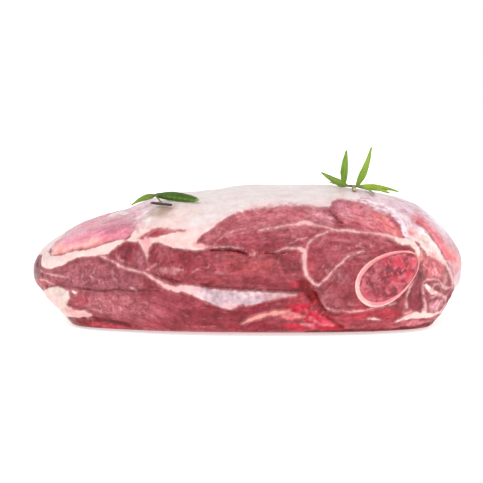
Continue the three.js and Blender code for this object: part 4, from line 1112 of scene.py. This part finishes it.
    # Wet muscle gleams unevenly; fat is duller and smoother
    fine = add(tree, "ShaderNodeTexNoise", {"Vector": place, "Scale": 1 / (1.5 * MM), "Detail": 3.0})
    fine = fine.outputs["Fac"]
    gloss = {"Value": fine, "From Min": 0.3, "From Max": 0.7, "To Min": 0.22, "To Max": 0.42}
    gloss = add(tree, "ShaderNodeMapRange", gloss).outputs["Result"]
    dry = add(tree, "ShaderNodeMath", {0: solid, 1: 0.16, 2: gloss}, operation="MULTIPLY_ADD").outputs[0]
    tree.links.new(dry, shader.inputs["Roughness"])
    on_lean = add(tree, "ShaderNodeMapRange", {"Value": solid, "To Min": 0.6, "To Max": 0.0})
    height = {0: fibres, 1: on_lean.outputs["Result"], 2: fine}
    height = add(tree, "ShaderNodeMath", height, operation="MULTIPLY_ADD").outputs[0]
    bump = add(tree, "ShaderNodeBump", {"Height": height, "Strength": 0.55, "Distance": 0.8 * MM})
    tree.links.new(bump.outputs["Normal"], shader.inputs["Normal"])
    shader.inputs["IOR"].default_value = 1.38
    shader.inputs["Specular IOR Level"].default_value = 0.3
    shader.inputs["Subsurface Weight"].default_value = 0.15
    shader.inputs["Subsurface Radius"].default_value = (1.0, 0.35, 0.25)
    shader.inputs["Subsurface Scale"].default_value = 1.6 * MM
    shader.inputs["Coat Weight"].default_value = look.wetness
    shader.inputs["Coat Roughness"].default_value = 0.14
    shader.inputs["Coat IOR"].default_value = 1.33
    return material


class LAMB_OT_meat(bpy.types.Operator):
    """Makes the joint of meat with its fat, seams and silverskin"""

    bl_idname = "lamb.meat"
    bl_label = "Meat"

    def execute(self, context):
        look = context.scene.lamb_meat
        piece = copy_of("shoulder_meat", "lamb_shoulder")
        crease_where(piece, lambda oval, inward: (np.abs(oval - 1.015) < 0.035) & (inward < 1.2))
        subdivide(piece, 2)
        shape_meat(look, piece)
        bpy.ops.object.shade_smooth_by_angle(angle=math.radians(50))
        piece.data.materials.append(meat_material(look))
        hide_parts("shoulder_meat")
        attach(piece, "root")
        return {"FINISHED"}


# ---- Bone and marrow ----
def bone_material():
    """Sawn bone: dense, cream, a little clear and polished by the saw. The eye sees a paler outer rim,
    a pink inner edge and faint marks across it."""
    material, tree, shader = new_material("sawn_bone")
    place = add(tree, "ShaderNodeTexCoord").outputs["Object"]
    base = add(tree, "ShaderNodeAttribute", attribute_name="bone_tint").outputs["Color"]
    # Blotches, then grit: size and strength
    for size, strength in [(5 * MM, 0.3), (2 * MM, 0.3), (0.8 * MM, 0.2)]:
        wave = {"Vector": place, "Scale": 1 / size, "Detail": 3.0}
        wave = add(tree, "ShaderNodeTexNoise", wave).outputs["Fac"]
        layers = {SHARE: strength, FIRST: base, SECOND: wave}
        base = add(tree, "ShaderNodeMix", layers, data_type="RGBA", blend_type="OVERLAY").outputs[MIXED]
    tree.links.new(base, shader.inputs["Base Color"])
    bump = add(tree, "ShaderNodeBump", {"Height": wave, "Strength": 0.3, "Distance": 0.3 * MM})
    tree.links.new(bump.outputs["Normal"], shader.inputs["Normal"])
    shader.inputs["Roughness"].default_value = 0.35
    shader.inputs["IOR"].default_value = 1.5
    shader.inputs["Subsurface Weight"].default_value = 0.2
    shader.inputs["Subsurface Radius"].default_value = (1.0, 0.5, 0.4)
    shader.inputs["Subsurface Scale"].default_value = 1.5 * MM
    return material


def marrow_material(look):
    """Red marrow: a wet sponge of thin pale walls round dark pores. The eye sees red, dark and pale specks a
    few millimetres wide, with wet glints."""
    material, tree, shader = new_material("red_marrow")
    place = add(tree, "ShaderNodeTexCoord").outputs["Object"]
    base = add(tree, "ShaderNodeAttribute", attribute_name="marrow_tint").outputs["Color"]
    size = look.pore
    # Red blobs, pale walls, then dark pores: size in pores, lowest value, most and colour
    for step, low, most, tint in [
        (2.4, 0.5, 0.6, look.marrow_red),
        (1.5, 0.48, 0.6, look.marrow_pale),
        (1.7, 0.46, 0.95, look.marrow_dark),
        (0.8, 0.52, 0.4, look.marrow_pale),
    ]:
        wave = {"Vector": place, "Scale": 1 / (step * size), "Detail": 2.5, "Distortion": 0.4}
        wave = add(tree, "ShaderNodeTexNoise", wave, noise_dimensions="4D")
        wave.inputs["W"].default_value = 7 * step
        above = {"Value": wave.outputs["Fac"], "From Min": low, "From Max": low + 0.13, "To Max": most}
        spots = add(tree, "ShaderNodeMapRange", above).outputs["Result"]
        layers = {SHARE: spots, FIRST: base, SECOND: rgba(tint)}
        base = add(tree, "ShaderNodeMix", layers, data_type="RGBA").outputs[MIXED]
    tree.links.new(base, shader.inputs["Base Color"])
    bump = add(tree, "ShaderNodeBump", {"Height": wave.outputs["Fac"], "Strength": 0.6, "Distance": 0.8 * MM})
    tree.links.new(bump.outputs["Normal"], shader.inputs["Normal"])
    shader.inputs["Roughness"].default_value = 0.28
    shader.inputs["IOR"].default_value = 1.38
    shader.inputs["Coat Weight"].default_value = 0.25
    shader.inputs["Coat Roughness"].default_value = 0.1
    return material


class LAMB_OT_bone(bpy.types.Operator):
    """Makes the sawn arm bone and the marrow in it"""

    bl_idname = "lamb.bone"
    bl_label = "Bone"

    def execute(self, context):
        look = context.scene.lamb_bone
        bone = copy_of("arm_bone", "arm_bone_sawn")
        crease_where(bone, lambda oval, inward: (inward < 1.2) & (oval > 0.7))
        subdivide(bone, 2)
        points, normals = places(bone)
        x, _, z = points.T
        oval = bone_oval(x, z) + 0.02 * lumps(points, 2.5, 54)
        tints = paint_patches(look, np.tile(np.array(look.bone), (len(x), 1)), RING_PATCHES, x, z)
        low_left = smoothstep(-(x - BONE_AT[0]) - 0.6 * (z - BONE_AT[1]), -8, 14)
        tints = paint(tints, (0.25 + 0.6 * low_left) * smoothstep(oval, 0.9, 0.98), look.ring_rim)
        ragged = oval + 0.03 * lumps(points, 4, 56) + 0.08 * low_left
        tints = paint(tints, 0.85 * (1 - smoothstep(ragged, 0.8, 0.93)), look.ring_inner)
        keep(bone, "bone_tint", tints)
        move_points(bone, points + normals * (0.12 * lumps(points, 3, 51))[:, None])
        bpy.ops.object.shade_smooth()
        bone.data.materials.append(bone_material())
        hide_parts("arm_bone")
        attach(bone, "root")

        marrow = copy_of("marrow", "marrow_core")
        subdivide(marrow, 3)
        points, normals = places(marrow)
        x, y, z = points.T
        tints = np.tile(np.array(look.marrow), (len(x), 1))
        tints = paint_patches(look, tints, MARROW_PATCHES, *warped(points, 3, 1.2, 55))
        edge = smoothstep(bone_oval(x, z) + 0.06 * lumps(points, 3, 57), 0.6, 0.84)
        keep(marrow, "marrow_tint", paint(tints, 0.55 * edge, look.ring_low))
        face = smoothstep(-normals[:, 1], 0.5, 0.8)
        spongy = 0.3 * lumps(points, 2.6, 52) + 0.15 * lumps(points, 1.2, 53)
        out = 0.35 + face * (0.3 + spongy * (1 - smoothstep(bone_oval(x, z), 0.7, 0.9)))
        rim = smoothstep(behind_face(x, y), 2.6, 1.2) * smoothstep(bone_oval(x, z), 0.45, 0.8)
        outward = np.stack([x - BONE_AT[0], 0 * x, z - BONE_AT[1]], axis=1)
        outward /= np.linalg.norm(outward, axis=1, keepdims=True) + 1e-6
        move_points(marrow, points + normals * out[:, None] + outward * (0.9 * rim)[:, None])
        bpy.ops.object.shade_smooth()
        marrow.data.materials.append(marrow_material(look))
        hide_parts("marrow")
        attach(marrow, "root")
        return {"FINISHED"}


# ---- Rosemary ----
def leaf_places(points, leaves):
    """For each point its leaf, how far along it lies and how far across, from -1 to 1."""
    steps = np.linspace(0, 1, 25)
    best = np.full(len(points), 1e9)
    found = [np.zeros(len(points), int), np.zeros(len(points)), np.zeros(len(points))]
    for k, (foot, by, tip, half, *_) in enumerate(leaves):
        foot, by, tip = (np.array(p, float) for p in (foot, by, tip))
        for t in steps:
            middle = (1 - t) ** 2 * foot + 2 * t * (1 - t) * by + t * t * tip
            distance = np.linalg.norm(points - middle, axis=1)
            nearer = distance - 0.6 * half < best
            best = np.where(nearer, distance - 0.6 * half, best)
            found[0][nearer] = k
            found[1][nearer] = t
            found[2][nearer] = distance[nearer] / half
    return found


def dress_sprig(look, node_name, name, leaves):
    """A sprig with rounded leaves, each with its own green."""
    sprig = copy_of(node_name, name)
    subdivide(sprig, 2)
    points, normals = places(sprig)
    leaf, along, across = leaf_places(points, leaves)
    greens = np.array([getattr(look, row[4]) for row in leaves])[leaf]
    tips = np.array([getattr(look, row[5]) for row in leaves])[leaf]
    greens = greens * (1 + 0.22 * lumps(points, 4, 61))[:, None]
    # Only leaves have a groove and a felted underside: stems and the stub are narrower. The groove is drawn
    # paler, partly a painted highlight along the leaf's middle
    leafy = np.array([row[3] for row in leaves])[leaf] > 1.1
    groove = (1 - smoothstep(across, 0.0, 0.35)) * smoothstep(along, 0.1, 0.4)
    greens = paint(greens, 0.35 * leafy * groove, look.vein_and_highlight)
    greens = paint(greens, 0.8 * (1 - smoothstep(along, 0.0, 0.14)), look.twig)
    tipped = smoothstep(along, 0.9, 0.99)[:, None]
    greens = greens * (1 - tipped) + tips * tipped
    greens = paint(greens, 0.5 * leafy * smoothstep(-normals[:, 2], 0.2, 0.8), look.leaf_grey)
    keep(sprig, "green", greens)
    move_points(sprig, points + normals * (look.wave / MM * lumps(points, 2.5, 62))[:, None])
    bpy.ops.object.shade_smooth()
    sprig.data.materials.append(leaf_material())
    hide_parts(node_name)
    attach(sprig, "root")


def leaf_material():
    """Fresh rosemary: leathery needles with a waxy face. The eye sees a soft sheen, a paler groove that is
    partly a painted highlight, and light glowing through thin places."""
    material, tree, shader = new_material("fresh_rosemary_leaf")
    place = add(tree, "ShaderNodeTexCoord").outputs["Object"]
    green = add(tree, "ShaderNodeAttribute", attribute_name="green").outputs["Color"]
    specks = add(tree, "ShaderNodeTexNoise", {"Vector": place, "Scale": 1 / (0.9 * MM), "Detail": 3.0})
    specks = specks.outputs["Fac"]
    layers = {SHARE: 0.35, FIRST: green, SECOND: specks}
    base = add(tree, "ShaderNodeMix", layers, data_type="RGBA", blend_type="OVERLAY").outputs[MIXED]
    tree.links.new(base, shader.inputs["Base Color"])
    bump = add(tree, "ShaderNodeBump", {"Height": specks, "Strength": 0.4, "Distance": 0.2 * MM})
    tree.links.new(bump.outputs["Normal"], shader.inputs["Normal"])
    shader.inputs["Roughness"].default_value = 0.42
    shader.inputs["IOR"].default_value = 1.42
    shader.inputs["Specular IOR Level"].default_value = 0.35
    shader.inputs["Subsurface Weight"].default_value = 0.2
    shader.inputs["Subsurface Radius"].default_value = (0.4, 1.0, 0.2)
    shader.inputs["Subsurface Scale"].default_value = 0.8 * MM
    return material


class LAMB_OT_rosemary(bpy.types.Operator):
    """Makes the two rosemary sprigs that lie on the fat"""

    bl_idname = "lamb.rosemary"
    bl_label = "Rosemary"

    def execute(self, context):
        look = context.scene.lamb_rosemary
        dress_sprig(look, "rosemary_sprig_left", "sprig_left", LEFT_LEAVES)
        dress_sprig(look, "rosemary_sprig_right", "sprig_right", RIGHT_LEAVES)
        return {"FINISHED"}


# ---- Stage ----
# The soft lights: (name, place in m, tilt and turn in degrees, width in m, the setting with its power)
LIGHTS = [
    ("key_light", (-0.35, -0.75, 1.15), 34, -22, 0.5, "key_power"),
    ("fill_light", (0.35, -1.1, 0.42), 71, 18, 0.25, "fill_power"),
]


def floor_material(look):
    """Matte white board, lit from all round, so that the eye sees only a faint soft shadow."""
    material, tree, shader = new_material("matte_white_board")
    place = add(tree, "ShaderNodeTexCoord").outputs["Object"]
    grain = add(tree, "ShaderNodeTexNoise", {"Vector": place, "Scale": 30.0, "Detail": 2.0}).outputs["Fac"]
    layers = {SHARE: 0.02, FIRST: rgba(look.floor), SECOND: grain}
    base = add(tree, "ShaderNodeMix", layers, data_type="RGBA", blend_type="OVERLAY").outputs[MIXED]
    tree.links.new(base, shader.inputs["Base Color"])
    tree.links.new(base, shader.inputs["Emission Color"])
    shader.inputs["Emission Strength"].default_value = 0.6
    shader.inputs["Roughness"].default_value = 0.9
    shader.inputs["Specular IOR Level"].default_value = 0.1
    return material


class LAMB_OT_stage(bpy.types.Operator):
    """Makes the pale floor, the soft lights and the camera"""

    bl_idname = "lamb.stage"
    bl_label = "Stage"

    def execute(self, context):
        look = context.scene.lamb_stage
        bpy.ops.object.select_all(action="DESELECT")
        bpy.ops.mesh.primitive_plane_add(size=look.floor_size, location=(0, 0, -0.02 * MM))
        floor = context.active_object
        floor.name = "floor"
        bpy.ops.object.transform_apply(location=True)
        floor.data.materials.append(floor_material(look))

        for name, place, tilt, turn, width, power in LIGHTS:
            bpy.ops.object.light_add(type="AREA", location=place)
            light = context.active_object
            light.name = name
            light.data.shape = "DISK"
            light.data.size = width
            light.data.energy = getattr(look, power)
            light.rotation_euler = (math.radians(tilt), 0, math.radians(turn))

        world = bpy.data.worlds.new("white_room")
        context.scene.world = world
        world.use_nodes = True
        sky = world.node_tree.nodes["Background"]
        sky.inputs["Color"].default_value = (1, 1, 1, 1)
        sky.inputs["Strength"].default_value = look.sky

        bpy.ops.object.camera_add(location=look.camera_at, rotation=(look.camera_tilt, 0, 0))
        camera = context.active_object
        camera.name = "photo_camera"
        camera.data.lens = 85
        camera.data.sensor_width = 36
        camera.data.clip_start = 0.01
        camera.data.clip_end = 20
        context.scene.camera = camera
        context.scene.view_settings.view_transform = "Standard"
        return {"FINISHED"}


class LAMB_PT_panel(bpy.types.Panel):
    """Lists the pieces of the lamb shoulder"""

    bl_idname = "LAMB_PT_panel"
    bl_label = "Lamb Shoulder"
    bl_space_type = "VIEW_3D"
    bl_region_type = "UI"
    bl_category = "Lamb"

    def draw(self, context):
        for operator, settings in STEPS:
            box = self.layout.box()
            box.operator(operator)
            group = getattr(context.scene, settings)
            for name in group.bl_rna.properties.keys():
                if name not in ("rna_type", "name"):
                    box.prop(group, name)


STEPS = [
    ("lamb.meat", "lamb_meat"),
    ("lamb.bone", "lamb_bone"),
    ("lamb.rosemary", "lamb_rosemary"),
    ("lamb.stage", "lamb_stage"),
]
SETTINGS = {
    "lamb_meat": MeatSettings,
    "lamb_bone": BoneSettings,
    "lamb_rosemary": RosemarySettings,
    "lamb_stage": StageSettings,
}
CLASSES = [*SETTINGS.values(), LAMB_OT_meat, LAMB_OT_bone, LAMB_OT_rosemary, LAMB_OT_stage, LAMB_PT_panel]


def register():
    """Adds the settings, operators and panel."""
    for cls in CLASSES:
        bpy.utils.register_class(cls)
    for name, group in SETTINGS.items():
        setattr(bpy.types.Scene, name, bpy.props.PointerProperty(type=group))


def unregister():
    """Takes them out again."""
    for name in SETTINGS:
        delattr(bpy.types.Scene, name)
    for cls in reversed(CLASSES):
        bpy.utils.unregister_class(cls)


def main():
    """Builds the joint and its stage."""
    register()
    bpy.ops.lamb.meat()
    bpy.ops.lamb.bone()
    bpy.ops.lamb.rosemary()
    bpy.ops.lamb.stage()


if __name__ == "__main__":
    main()
